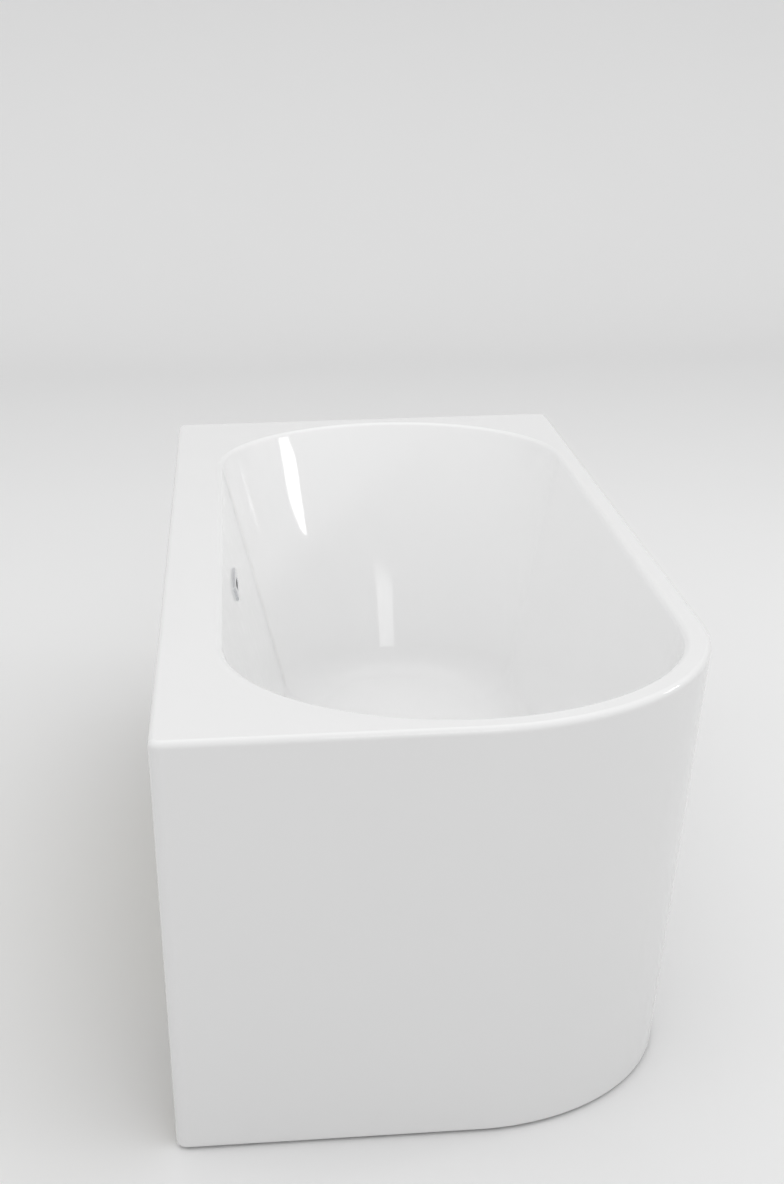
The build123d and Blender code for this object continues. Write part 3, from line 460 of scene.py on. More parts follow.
def wall_lip_plan(sizes):
    """Plan of the tub, with doubled columns where the deep lip on the wall sides starts and ends."""
    side_start = CAD_HIGH.y - sizes.corner
    side_length = CAD_HIGH.y - CAD_LOW.y - 2 * sizes.corner
    end_start = CAD_HIGH.x - sizes.corner
    end_length = CAD_HIGH.x - CAD_LOW.x - 2 * sizes.corner
    lip_start = (end_start - (CAD_HIGH.x - sizes.skirt_return - BOND)) / end_length
    lip_end = (side_start - (CAD_LOW.y + sizes.skirt_return + BOND)) / side_length
    shares = (
        side_shares(),
        np.sort(np.r_[side_shares(), lip_start, lip_start]),
        np.sort(np.r_[side_shares(), lip_end, lip_end]),
        side_shares(),
    )
    plan = corner_plan(ARC_STEPS, shares)
    place_in_side = plan["first"] + plan["share"]
    deep = (place_in_side > 1 + lip_start) & (place_in_side < 2 + lip_end)
    doubles = np.flatnonzero(np.isclose(place_in_side, 1 + lip_start))
    deep[doubles[-1]] = True
    doubles = np.flatnonzero(np.isclose(place_in_side, 2 + lip_end))
    deep[doubles[0]] = True
    return plan, deep


def side_shares():
    """Shares of a side's length for its columns, close to each end so that arcs shade evenly."""
    middle = np.linspace(0, 1, SIDE_STEPS + 1)[1:-1]
    return np.r_[SIDE_SUPPORT, middle, 1 - SIDE_SUPPORT]


def quarter(radius, steps=8):
    """Quarter round as pairs of how far it has gone in and down, from flat to upright."""
    turn = np.linspace(0, RIGHT_ANGLE, steps + 1)
    return np.stack([radius * np.sin(turn), radius * (1 - np.cos(turn))], axis=-1)


def tub_surface(sizes):
    """Closed surface of the tub, as a chain of rows from the rim through the basin and back.

    The rows go down the inside of the basin, over its floor, through the drain, back along the
    outside of the sheet, under the rim, down and up the lip, and over the rim's outer edge.
    """
    plan, deep = wall_lip_plan(sizes)
    basin, outline = Basin(sizes, plan), Outline(sizes, plan)
    top, sheet = CAD_HIGH.z, sizes.acrylic
    floor = top - sizes.depth
    inner_top = basin.contact(top, sizes.inner_edge, 1)
    inner_bottom = basin.contact(floor, sizes.floor_fillet, -1)
    outer_bottom = basin.contact(floor - sheet, sizes.floor_fillet + sheet, -1)
    underside = top - sheet
    flat = 3 * MM
    soft = 1.5 * MM
    rows = basin.rolled(top, sizes.inner_edge, 1, 10)[::-1]
    for share in (0.005, 0.15, 0.35, 0.55, 0.75, 0.97, 0.995):
        rows.append(basin.wall(inner_top + (inner_bottom - inner_top) * share))
    rows += basin.rolled(floor, sizes.floor_fillet, -1, 18)
    rows += ring_in(basin.rolled(floor, sizes.floor_fillet, -1, 1)[-1], basin, (flat, 30 * MM))
    thick = 4 * MM
    recess = floor - thick
    rows += [basin.circle(sizes.recess + radius, floor) for radius in (20 * MM, 4 * MM, soft)]
    rows += [basin.circle(sizes.recess + soft - a, floor - b) for a, b in quarter(soft, 4)[1:]]
    rows += [basin.circle(sizes.recess - b, recess + soft - a) for a, b in quarter(soft, 4)]
    rows += [basin.circle(sizes.drain + radius, recess) for radius in (8 * MM, 1.6 * MM, 0.8 * MM)]
    rows += [basin.circle(sizes.drain + 0.8 * MM - a, recess - b) for a, b in quarter(0.8 * MM, 3)[1:]]
    pad_bottom = floor - sheet - thick
    rows += [basin.circle(sizes.drain, pad_bottom), basin.circle(sizes.pad, pad_bottom)]
    rows += [basin.circle(sizes.pad, floor - sheet)]
    outer_floor = basin.rolled(floor - sheet, sizes.floor_fillet + sheet, -1, 14, sheet)
    rows += ring_in(outer_floor[-1], basin, (flat,))
    rows += outer_floor[::-1]
    for share in (0.995, 0.7, 0.4, 0.1):
        rows.append(basin.wall(underside + (outer_bottom - underside) * share, sheet))
    rows.append(basin.wall(underside, sheet))
    lip = top - sizes.lip
    lip_bottom = np.where(deep, top - sizes.wall_lip, lip)
    rows += [outline.row(underside, sheet), outline.row(lip, sheet), outline.row(lip_bottom, sheet)]
    rows += [outline.row(lip_bottom), outline.row(lip)]
    edge = quarter(sizes.edge, 10)
    rows += [outline.row(top - sizes.edge + a, b) for a, b in edge]
    rows += [outline.row(top, sizes.edge + reach) for reach in (0.5 * MM, flat)]
    rim = basin.rolled(top, sizes.inner_edge, 1, 1)[-1]
    rows += [moved_out(rim, plan, reach) for reach in (flat, 0.5 * MM)]
    return grid(rows, close_rows=True, close_columns=True)


def moved_out(row, plan, reach):
    """Row moved outwards in plan, along each column's direction."""
    step = np.stack([plan["x"], plan["y"], 0 * plan["x"]], axis=-1)
    return row + np.reshape(reach, (-1, 1)) * step


def ring_in(row, basin, reaches):
    """Rows a little inside a row, which keep the flat floor flat beside a round."""
    return [moved_out(row, basin.plan, -reach) for reach in reaches]


def skirt_surface(sizes):
    """Closed surface of the skirt, its section carried round the exposed sides.

    The path goes from the return on the long wall side round the near end and the right side to the
    return on the short wall side. The section has a turned-in flange below and a tongue above.
    """
    short_wall_share, long_wall_share = np.r_[0.1], np.r_[0.9]
    shares = (side_shares(), short_wall_share, long_wall_share, side_shares())
    plan = corner_plan(ARC_STEPS, shares)
    order = plan["first"] + np.where(plan["share"] > 0, 0.5, 0)
    columns = np.r_[np.flatnonzero(order >= 2.5), np.flatnonzero(order <= 1.5)]
    outline = Outline(sizes, plan)
    sheet, tongue = sizes.acrylic, 4 * MM
    top, bottom = CAD_HIGH.z - sizes.lip, sizes.skirt_gap
    tongue_top, tongue_bottom = CAD_HIGH.z - sheet - BOND, top - 15 * MM
    hem = sheet / 2
    section = [(0, top), (0, bottom + 6 * MM)]
    turn = np.linspace(0, RIGHT_ANGLE, 6)
    section += [(hem * (1 - math.cos(t)), bottom + hem * (1 - math.sin(t))) for t in turn]
    section += [
        (sheet + sizes.skirt_flange, bottom),
        (sheet + sizes.skirt_flange, bottom + sheet),
        (sheet, bottom + sheet),
        (sheet, tongue_bottom),
        (sheet + BOND + tongue, tongue_bottom),
        (sheet + BOND + tongue, tongue_top),
        (sheet + BOND, tongue_top),
        (sheet + BOND, top),
    ]
    rows = np.stack([outline.row(height, shrink)[columns] for shrink, height in section])
    near_end = CAD_LOW.y + sizes.skirt_return
    far_end = CAD_HIGH.x - sizes.skirt_return
    on_wall = (order[columns] >= 2.5) & (order[columns] <= 3)
    on_far = (order[columns] >= 1) & (order[columns] <= 1.5)
    rows[:, on_wall, 1] = np.minimum(rows[:, on_wall, 1], near_end)
    rows[:, on_far, 0] = np.maximum(rows[:, on_far, 0], far_end)
    return grid(rows.transpose(1, 0, 2), close_columns=True, caps=True)


def backing_surface(sizes):
    """Closed skin of chopped strands and resin on the underside of the basin, rolled by hand.

    Its outer face is drawn in by up to 0.8 mm, by a sum of sines of the way round and the height
    with seeded phases, so that it looks uneven.
    """
    plan = corner_plan(ARC_STEPS, (side_shares(),) * 4)
    basin = Basin(sizes, plan)
    inner, outer = sizes.acrylic + BOND, sizes.acrylic + BOND + sizes.backing
    top = CAD_HIGH.z - sizes.acrylic - BOND - 20 * MM
    inner_floor = CAD_HIGH.z - sizes.depth - inner
    outer_floor = inner_floor - sizes.backing
    inner_ball = sizes.floor_fillet + sizes.acrylic
    outer_ball = inner_ball + sizes.backing
    foot = basin.contact(inner_floor, inner_ball, -1)
    rows = [basin.wall(top + (foot - top) * share, inner) for share in (0, 0.5)]
    rows += basin.rolled(inner_floor, inner_ball, -1, 10, inner)
    hole = sizes.pad + BOND
    rows += [basin.circle(hole, inner_floor), basin.circle(hole, outer_floor)]
    foot = basin.contact(outer_floor, outer_ball, -1)
    outside = basin.rolled(outer_floor, outer_ball, -1, 14, outer)[::-1]
    outside += [basin.wall(foot + (top - foot) * share, outer) for share in np.linspace(0.03, 1, 40)]
    draw = np.random.default_rng(7)
    even_rows, unevenness = 12, 0.4 * MM
    turn = np.linspace(0, FULL_TURN, len(plan["share"]), endpoint=False)
    for number, row in enumerate(outside):
        rise = min(1, number / even_rows)
        wave = np.zeros(len(turn))
        for waves, tall in ((9, 11), (23, 31), (41, 53), (67, 29)):
            wave += np.sin(waves * turn + tall * row[:, 2] * 2 + waves)
        wave += draw.uniform(-1, 1, len(turn))
        depth = unevenness * rise * (1 - np.clip(wave / 4, -1, 1))
        rows.append(moved_out(row, plan, -depth))
    return grid(rows, close_rows=True, close_columns=True)


def overflow_axes(sizes):
    """Middle of the overflow on the basin's wall, with the ways along the bath, up and out."""
    slope = (sizes.opening_width - sizes.floor_width) / 2 / sizes.depth
    middle_x = CAD_LOW.x + sizes.ledge + slope * OVERFLOW_DROP
    middle_y = CAD_LOW.y + sizes.rim + sizes.opening_length / 2
    middle = np.array([middle_x, middle_y, CAD_HIGH.z - OVERFLOW_DROP])
    out = np.array([1, 0, slope]) / math.hypot(1, slope)
    along = np.array([0, 1, 0])
    return middle, along, np.cross(out, along), out


def plate_row(half_length, half_height, corner, out, axes):
    """Row round a rectangle with round corners on the overflow's wall, at a height out of it."""
    middle, along, up, away = axes
    x, y = round_rectangle(half_length, half_height, corner)
    return middle + x[:, None] * along + y[:, None] * up + out * away


def slot_cutter(sizes, length_across, height_across, corner):
    """Bar that goes through the basin's wall at the overflow, to cut its hole."""
    axes = overflow_axes(sizes)
    half_length, half_height = length_across / 2, height_across / 2
    rows = [plate_row(half_length, half_height, corner, out, axes) for out in (-30 * MM, 20 * MM)]
    return grid(rows, close_columns=True, caps=True)


def overflow_plate_surface(sizes):
    """Cover plate with rounded edges, a slot through it and a pocket behind it."""
    axes = overflow_axes(sizes)
    length, height, thick = 56 * MM, 11.5 * MM, 4 * MM
    edge, corner = 1.4 * MM, 1.6 * MM
    rows = [plate_row(length - a, height - a, corner, a, axes) for a in (0.15 * MM, 0)]
    for reach, rise in quarter(edge, 6)[::-1]:
        spread = reach - edge
        rows.append(plate_row(length + spread, height + spread, corner, thick - rise, axes))
    slot_length, slot_height = 26 * MM, 4.5 * MM
    rows.append(plate_row(slot_length + 1.5 * MM, slot_height + 1.5 * MM, 2.4 * MM, thick, axes))
    for reach, rise in quarter(0.8 * MM, 4):
        spread = 0.8 * MM - reach
        rows.append(plate_row(slot_length + spread, slot_height + spread, 2 * MM, thick - rise, axes))
    pocket_length, pocket_height, pocket = 53.5 * MM, 9.7 * MM, 2.7 * MM
    rows.append(plate_row(slot_length, slot_height, 2 * MM, pocket, axes))
    rows += [plate_row(pocket_length, pocket_height, 1 * MM, out, axes) for out in (pocket, 0)]
    return grid(rows, close_rows=True, close_columns=True)


# Frame, feet, fasteners and pipes


def tube_surface(low, high):
    """Welded square tube with rounded corners that fills a box, hollow along its longest side."""
    low, high = np.array(low), np.array(high)
    axis = int(np.argmax(high - low))
    across = [index for index in range(3) if index != axis]
    middle = (low + high) / 2
    rows = []
    wall, outer_corner = 1.5 * MM, 3 * MM
    for inset, ends in ((0, (low, high)), (wall, (high, low))):
        half = (high - low)[across[0]] / 2 - inset
        offsets = round_rectangle(half, half, outer_corner - inset)
        for end in ends:
            row = np.full((len(offsets[0]), 3), end[axis])
            for index, offset in zip(across, offsets):
                row[:, index] = middle[index] + offset
            rows.append(row)
    return grid(rows, close_rows=True, close_columns=True)


def nut_surface(centre, height, across_flats, hole):
    """Hexagon nut, its corners cut back at 30 degrees and its hole countersunk."""
    corner = across_flats / 2 / math.cos(math.pi / 6)
    face = across_flats / 2 * 0.97
    fall = (corner - face) * math.tan(math.pi / 6)
    sink = 0.7 * MM
    profile = [
        (hole + sink, 0),
        (face, 0),
        (corner, fall),
        (corner, height - fall),
        (face, height),
        (hole + sink, height),
        (hole, height - sink),
        (hole, sink),
    ]
    return turned(profile, centre, columns=48, limit=hexagon(across_flats), closed=True)


def thread_surface(centre, length_along, radius, pitch, columns=32):
    """Rolled screw thread: the radius follows a triangle wave of the height less the turn.

    Both ends run out to a chamfer, and the top is closed.
    """
    depth = 0.6 * pitch
    steps = int(length_along / pitch * 8)
    height = np.linspace(0, length_along, steps + 1)[:, None]
    angle = np.linspace(0, FULL_TURN, columns, endpoint=False)[None, :]
    phase = (height / pitch - angle / FULL_TURN) % 1
    profile = radius - depth * (1 - np.abs(2 * phase - 1))
    chamfer = radius - 1.2 * MM + np.minimum(height, length_along - height)
    profile = np.minimum(profile, chamfer)
    points = np.stack([profile * np.cos(angle), profile * np.sin(angle), height + 0 * angle], axis=-1)
    return grid(points + np.asarray(centre), close_columns=True, caps=True)


def ball_profile(radius, centre_height, low, high, steps):
    """Profile of a ball between two heights."""
    height = np.linspace(math.asin(low / radius), math.asin(high / radius), steps)
    return [(radius * math.cos(t), centre_height + radius * math.sin(t)) for t in height]


def stud_surfaces(x, y, sizes):
    """Foot screw: rolled thread, hexagon to turn it by, neck and ball end."""
    shoulder_top, shoulder_bottom, top = 50.4 * MM, 38.4 * MM, 107.7 * MM
    flats = 19 * MM
    corner = flats / 2 / math.cos(math.pi / 6)
    fall = 0.9 * MM
    hexagon_profile = [
        (0, shoulder_top),
        (flats / 2 * 0.96, shoulder_top),
        (corner, shoulder_top - fall),
        (corner, shoulder_bottom + fall),
        (flats / 2 * 0.96, shoulder_bottom),
        (0, shoulder_bottom),
    ]
    neck = 4.5 * MM
    ball = [(0, 3 * MM)] + ball_profile(8 * MM, 11 * MM, -7.99 * MM, 6.6 * MM, 14)
    ball += [(neck, 18.2 * MM), (neck, shoulder_bottom - 0.8 * MM)]
    ball += [(neck + 0.8 * MM, shoulder_bottom), (0, shoulder_bottom)]
    return [
        thread_surface((x, y, shoulder_top), top - shoulder_top, 6 * MM, sizes.thread_pitch),
        turned(hexagon_profile, (x, y, 0), columns=48, limit=hexagon(flats)),
        turned(ball, (x, y, 0), columns=32),
    ]


def pad_surface(x, y):
    """Foot pad: a moulded cone with a broken edge, and a round socket for the ball."""
    outside = [(0, 0), (20.6 * MM, 0), (21.6 * MM, 0.4 * MM), (22 * MM, 1.4 * MM), (22 * MM, 3.4 * MM)]
    outside += [(21.5 * MM, 4.6 * MM), (13 * MM, 15 * MM), (11.9 * MM, 15.8 * MM), (11.2 * MM, 16 * MM)]
    socket = 8.3 * MM
    inside = ball_profile(socket, 11 * MM, -socket * 0.999, 5 * MM, 12)[::-1]
    profile = outside + [(6.9 * MM, 16 * MM)] + inside + [(0, 11 * MM - socket)]
    return turned(profile, (x, y, 0), columns=64)


def bolt_surface(x, y, head_top, head_height, across_flats, radius, length_up):
    """Hexagon bolt that goes up from under a beam, with a washer face under its head."""
    corner = across_flats / 2 / math.cos(math.pi / 6)
    face = across_flats / 2 * 0.95
    bottom = head_top - head_height
    profile = [
        (0, bottom),
        (face * 0.98, bottom),
        (corner, bottom + 0.5 * MM),
        (corner, head_top - 0.4 * MM),
        (face, head_top - 0.35 * MM),
        (face, head_top),
        (radius, head_top),
        (radius, head_top + length_up - 0.5 * MM),
        (radius - 0.5 * MM, head_top + length_up),
        (0, head_top + length_up),
    ]
    return turned(profile, (x, y, 0), columns=48, limit=hexagon(across_flats))


def screw_surface(centre, axis, radius, height, shank, length_down):
    """Pan-head screw: the head's height falls with the fourth power of the radius.

    A cross is pressed into it, deepest in the middle: its depth falls off with the distance along
    each arm, and vanishes past half the arm's width.
    """
    columns = 48
    radii = np.r_[0, np.linspace(0.08, 1, 13)][:, None] * radius
    angle = np.linspace(0, FULL_TURN, columns, endpoint=False)[None, :]
    top = height * (1 - 0.45 * (radii / radius) ** 4) + 0 * angle
    x, y = radii * np.cos(angle), radii * np.sin(angle)
    near, far = np.minimum(np.abs(x), np.abs(y)), np.maximum(np.abs(x), np.abs(y))
    arm = np.clip(1 - near / (0.17 * radius), 0, 1) * np.clip(1.3 - far / (0.5 * radius), 0, 1)
    top -= 0.5 * height * np.clip(2 * arm, 0, 1)
    head = np.stack([x, y, top], axis=-1)
    rows = [(radius, 0), (shank, 0), (shank, -length_down + shank), (0, -length_down)]
    rest = np.stack(
        [
            np.stack([r * np.cos(angle[0]), r * np.sin(angle[0]), np.full(columns, z)], axis=-1)
            for r, z in rows
        ]
    )
    return grid(place(np.concatenate([head, rest]), centre, axis), close_columns=True)


def hose_surface(sizes):
    """Corrugated hose: straight down, a quarter turn, then along to the drain.

    The outer radius is a cosine of the way along, one wave a rib, and its bore is plain.
    """
    low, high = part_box("overflow_hose")
    radius, bend, bore = 12.5 * MM, 200 * MM, 10 * MM
    start_x, end_x, axis_z = low.x + radius, high.x, low.z + radius
    down = high.z - axis_z - bend
    turn = bend * RIGHT_ANGLE
    along = end_x - start_x - bend
    total = down + turn + along
    way = np.linspace(0, total, int(total / sizes.rib_pitch * 5) + 1)
    angle = np.clip((way - down) / bend, 0, RIGHT_ANGLE)
    x = start_x + bend * (1 - np.cos(angle)) + np.maximum(way - down - turn, 0)
    z = high.z - np.minimum(way, down) - bend * np.sin(angle)
    forward = np.stack([np.sin(angle), 0 * angle, -np.cos(angle)], axis=-1)
    side = np.array([0, 1, 0])
    up = np.cross(forward, side)
    middle = np.stack([x, np.full(len(way), (low.y + high.y) / 2), z], axis=-1)
    plain = 22 * MM
    ribbed = np.clip(np.minimum(way, total - way) / plain - 1, 0, 1)
    outer = radius - 1.3 * MM * ribbed * (0.5 - 0.5 * np.cos(FULL_TURN * way / sizes.rib_pitch))
    turns = np.linspace(0, FULL_TURN, 24, endpoint=False)[None, :, None]
    ring = np.cos(turns) * side[None, None, :] + np.sin(turns) * up[:, None, :]
    outside = middle[:, None, :] + outer[:, None, None] * ring
    inside = (middle[:, None, :] + bore * ring)[::-1]
    return grid(np.concatenate([outside, inside]), close_rows=True, close_columns=True)


def spring_surface():
    """Round wire wound to a helix that fills the spring's box."""
    low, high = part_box("plug_spring")
    wire, turns = 0.4 * MM, 6
    radius = (high.x - low.x) / 2 - wire
    angle = np.linspace(0, FULL_TURN * turns, 24 * turns + 1)
    rise = (high.z - low.z - 2 * wire) / angle[-1]
    height = low.z + wire + rise * angle
    centre = (low + high) / 2
    outward = np.stack([np.cos(angle), np.sin(angle), 0 * angle], axis=-1)
    forward = np.stack([-radius * np.sin(angle), radius * np.cos(angle), 0 * angle + rise], axis=-1)
    forward /= np.linalg.norm(forward, axis=-1)[:, None]
    up = np.cross(forward, outward)
    middle = radius * outward
    middle += np.stack([0 * angle + centre.x, 0 * angle + centre.y, height], axis=-1)
    turn = np.linspace(0, FULL_TURN, 10, endpoint=False)[None, :, None]
    points = middle[:, None, :]
    points = points + wire * (np.cos(turn) * outward[:, None, :] + np.sin(turn) * up[:, None, :])
    return grid(points, close_columns=True, caps=True)


def cap_surface():
    """Plug cap: a low dome with a rounded edge, and a hub below for the stem."""
    low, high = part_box("plug_cap")
    centre = ((low.x + high.x) / 2, (low.y + high.y) / 2, 0)
    radius, bottom = (high.x - low.x) / 2, low.z + 6 * MM
    shoulder = bottom + 2.5 * MM
    rise = high.z - shoulder
    radii = np.linspace(0, radius * 0.96, 14)
    profile = [(r, shoulder + rise * (1 - (r / radius) ** 2)) for r in radii]
    profile += [(radius - 0.5 * MM, shoulder - 0.1 * MM), (radius - 0.1 * MM, shoulder - 0.6 * MM)]
    profile += [(radius, shoulder - 1.1 * MM), (radius, bottom + 0.4 * MM), (radius - 0.4 * MM, bottom)]
    profile += [(6 * MM, bottom), (6 * MM, low.z), (3.1 * MM, low.z), (3.1 * MM, bottom), (0, bottom)]
    return turned(profile, centre, columns=96)


# Materials


def shade(key, darker=1.0):
    """Colour of the scene's colour settings with full alpha, darkened by a factor."""
    values = getattr(bpy.context.scene.bath_colours, key)
    return (*(value * darker for value in values), 1)


def add(tree, kind, inputs=None, **settings):
    """Add a node with its settings, and give each input a value or a link from an output."""
    node = tree.nodes.new(kind)
    for name, value in settings.items():
        setattr(node, name, value)
    for name, value in (inputs or {}).items():
        if isinstance(value, bpy.types.NodeSocket):
            tree.links.new(value, node.inputs[name])
        else:
            node.inputs[name].default_value = value
    return node


def surface(name, **inputs):
    """Material with a Principled shader, whose inputs are named with underscores for spaces."""
    item = bpy.data.materials.new(name)
    item.use_nodes = True
    tree = item.node_tree
    shader = tree.nodes["Principled BSDF"]
    for key, value in inputs.items():
        shader.inputs[key.replace("_", " ")].default_value = value
    place_of = add(tree, "ShaderNodeTexCoord").outputs["Object"]
    return item, tree, shader, place_of


def connect(tree, shader, **outputs):
    """Link outputs to the shader's inputs, named with underscores for spaces."""
    for key, output in outputs.items():
        tree.links.new(output, shader.inputs[key.replace("_", " ")])


def moulded_acrylic():
    """Thermoformed acrylic: a hard gloss with very slow waves from the mould, faintly uneven."""
    item, tree, shader, spot = surface("thermoformed_acrylic", IOR=1.49, Roughness=0.06)
    drift = add(tree, "ShaderNodeTexNoise", {"Vector": spot, "Scale": 3, "Detail": 2})
    tone = add(
        tree,
        "ShaderNodeMix",
        {0: drift.outputs["Fac"], 6: shade("acrylic", 0.975), 7: shade("acrylic")},
        data_type="RGBA",
    )
    # wiped gloss, with faint smears about 25 mm across
    smear = add(tree, "ShaderNodeTexNoise", {"Vector": spot, "Scale": 40, "Detail": 4})
    gloss = add(
        tree,
        "ShaderNodeMapRange",
        {"Value": smear.outputs["Fac"], "From Min": 0.35, "From Max": 0.7, "To Min": 0.045, "To Max": 0.09},
    )
    # waves about 300 mm long and a third of a millimetre high, which bend the reflections a little
    wave = add(tree, "ShaderNodeTexNoise", {"Vector": spot, "Scale": 3.5, "Detail": 1})
    bump = add(
        tree, "ShaderNodeBump", {"Height": wave.outputs["Fac"], "Strength": 0.35, "Distance": 1 * MM}
    )
    connect(
        tree,
        shader,
        Base_Color=tone.outputs[2],
        Roughness=gloss.outputs["Result"],
        Normal=bump.outputs["Normal"],
    )
    return item


def laid_glass_fibre():
    """Chopped glass strands in polyester resin, rolled by hand: pale, rough and stringy."""
    item, tree, shader, spot = surface("chopped_strand_mat", IOR=1.54, Roughness=0.5)
    total = None
    # strands about 50 mm long, lying in four directions, and 2 mm wide, twice the real width, to show
    for turn in (0.2, 1.1, 1.9, 2.7):
        turned_spot = add(
            tree,
            "ShaderNodeMapping",
            {"Vector": spot, "Rotation": (turn, turn * 0.7, turn), "Scale": (20, 500, 90)},
        )
        strand = add(
            tree,
            "ShaderNodeTexNoise",
            {"Vector": turned_spot.outputs["Vector"], "Scale": 1, "Detail": 1, "Distortion": 0.3},
        )
        line = add(
            tree,
            "ShaderNodeMapRange",
            {"Value": strand.outputs["Fac"], "From Min": 0.52, "From Max": 0.62, "To Max": 0.5},
        )
        if total is None:
            total = line.outputs["Result"]
        else:
            total = add(tree, "ShaderNodeMath", {0: total, 1: line.outputs["Result"]}).outputs[0]
    tone = add(
        tree,
        "ShaderNodeMix",
        {0: total, 6: shade("resin", 0.72), 7: shade("resin", 1.12)},
        data_type="RGBA",
    )
    bump = add(tree, "ShaderNodeBump", {"Height": total, "Strength": 0.6, "Distance": 0.5 * MM})
    connect(tree, shader, Base_Color=tone.outputs[2], Normal=bump.outputs["Normal"])
    return item


def birch_plywood():
    """Plywood: seven plies that show as stripes on the edge, and fine grain along the face."""
    item, tree, shader, spot = surface("sanded_plywood", Roughness=0.6)
    apart = add(tree, "ShaderNodeSeparateXYZ", {"Vector": spot})
    ply = add(tree, "ShaderNodeMath", {0: apart.outputs["Z"], 1: 4.3 * MM}, operation="DIVIDE")
    stripe = add(tree, "ShaderNodeMath", {0: ply.outputs[0], 1: 0.5}, operation="PINGPONG")
    dark = add(tree, "ShaderNodeMapRange", {"Value": stripe.outputs[0], "From Min": 0.2, "From Max": 0.3})
    along = add(tree, "ShaderNodeMapping", {"Vector": spot, "Scale": (260, 9, 60)})
    grain = add(tree, "ShaderNodeTexNoise", {"Vector": along.outputs["Vector"], "Scale": 1, "Detail": 5})
    amount = add(tree, "ShaderNodeMath", {0: dark.outputs[0], 1: grain.outputs["Fac"]})
    half = add(tree, "ShaderNodeMath", {0: amount.outputs[0], 1: 0.6}, operation="MULTIPLY")
    tone = add(
        tree,
        "ShaderNodeMix",
        {0: half.outputs[0], 6: shade("plywood", 0.62), 7: shade("plywood", 1.1)},
        data_type="RGBA",
    )
    relief = {"Height": grain.outputs["Fac"], "Strength": 0.4, "Distance": 0.2 * MM}
    bump = add(tree, "ShaderNodeBump", relief)
    connect(tree, shader, Base_Color=tone.outputs[2], Normal=bump.outputs["Normal"])
    return item


def planed_softwood():
    """Planed spruce: level rings about 4 mm apart, bent by slow noise, and a satin surface."""
    item, tree, shader, spot = surface("planed_spruce", Roughness=0.55)
    bend = add(tree, "ShaderNodeTexNoise", {"Vector": spot, "Scale": 4, "Detail": 1})
    apart = add(tree, "ShaderNodeSeparateXYZ", {"Vector": spot})
    shift = add(tree, "ShaderNodeMath", {0: bend.outputs["Fac"], 1: 18 * MM}, operation="MULTIPLY")
    level = add(tree, "ShaderNodeMath", {0: apart.outputs["Z"], 1: shift.outputs[0]})
    ring = add(tree, "ShaderNodeMath", {0: level.outputs[0], 1: 4 * MM}, operation="DIVIDE")
    share = add(tree, "ShaderNodeMath", {0: ring.outputs[0]}, operation="FRACT")
    late = add(tree, "ShaderNodeMath", {0: share.outputs[0], 1: 3}, operation="POWER")
    fibre = add(tree, "ShaderNodeTexNoise", {"Vector": spot, "Scale": 220, "Detail": 3})
    mixed = add(tree, "ShaderNodeMath", {0: fibre.outputs["Fac"], 1: 0.35}, operation="MULTIPLY")
    amount = add(tree, "ShaderNodeMath", {0: late.outputs[0], 1: mixed.outputs[0]})
    tone = add(
        tree,
        "ShaderNodeMix",
        {0: amount.outputs[0], 6: shade("softwood", 1.05), 7: shade("softwood", 0.55)},
        data_type="RGBA",
    )
    relief = {"Height": amount.outputs[0], "Strength": 0.3, "Distance": 0.2 * MM}
    bump = add(tree, "ShaderNodeBump", relief)
    connect(tree, shader, Base_Color=tone.outputs[2], Normal=bump.outputs["Normal"])
    return item


def galvanised_steel():
    """Hot-dip galvanised tube: zinc crystals about 6 mm across, each its own grey and dullness."""
    item, tree, shader, spot = surface("galvanised_steel", Metallic=1.0, Roughness=0.4)
    cells = add(tree, "ShaderNodeTexVoronoi", {"Vector": spot, "Scale": 160, "Randomness": 1})
    apart = add(tree, "ShaderNodeSeparateXYZ", {"Vector": cells.outputs["Color"]})
    tone = add(
        tree,
        "ShaderNodeMix",
        {0: apart.outputs["X"], 6: shade("zinc", 0.78), 7: shade("zinc")},
        data_type="RGBA",
    )
    gloss = add(tree, "ShaderNodeMapRange", {"Value": apart.outputs["Y"], "To Min": 0.32, "To Max": 0.52})
    connect(tree, shader, Base_Color=tone.outputs[2], Roughness=gloss.outputs["Result"])
    return item


def uneven(name, dark, pale, gloss, scale, detail, stretch=(1, 1, 1), gloss_from=(0, 1), **inputs):
    """Material whose colour goes from dark to pale, and its roughness over gloss, with one noise.

    The noise is stretched along the axes, and gloss_from is the part of it that changes the
    roughness.
    """
    item, tree, shader, spot = surface(name, Roughness=sum(gloss) / 2, **inputs)
    spread = add(tree, "ShaderNodeMapping", {"Vector": spot, "Scale": stretch}).outputs["Vector"]
    drift = add(tree, "ShaderNodeTexNoise", {"Vector": spread, "Scale": scale, "Detail": detail})
    amount = drift.outputs["Fac"]
    tone = add(tree, "ShaderNodeMix", {0: amount, 6: dark, 7: pale}, data_type="RGBA")
    limits = {"From Min": gloss_from[0], "From Max": gloss_from[1], "To Min": gloss[0], "To Max": gloss[1]}
    dullness = add(tree, "ShaderNodeMapRange", {"Value": amount, **limits})
    connect(tree, shader, Base_Color=tone.outputs[2], Roughness=dullness.outputs["Result"])
    return item, tree, shader, spot


def zinc_plate():
    """Bright zinc plate on steel: a soft metal sheen with a faint yellow and blue cast."""
    dark, pale = shade("plating", 0.85), shade("zinc")
    return uneven("zinc_plate", dark, pale, (0.2, 0.42), 70, 2, Metallic=1.0)[0]


def polished_chrome():
    """Chrome plate on polished brass: a mirror with faint dried water marks."""
    dark, pale, marks = shade("chrome", 0.96), shade("chrome"), (0.5, 0.75)
    return uneven("chrome_plate", dark, pale, (0.04, 0.12), 90, 3, gloss_from=marks, Metallic=1.0)[0]


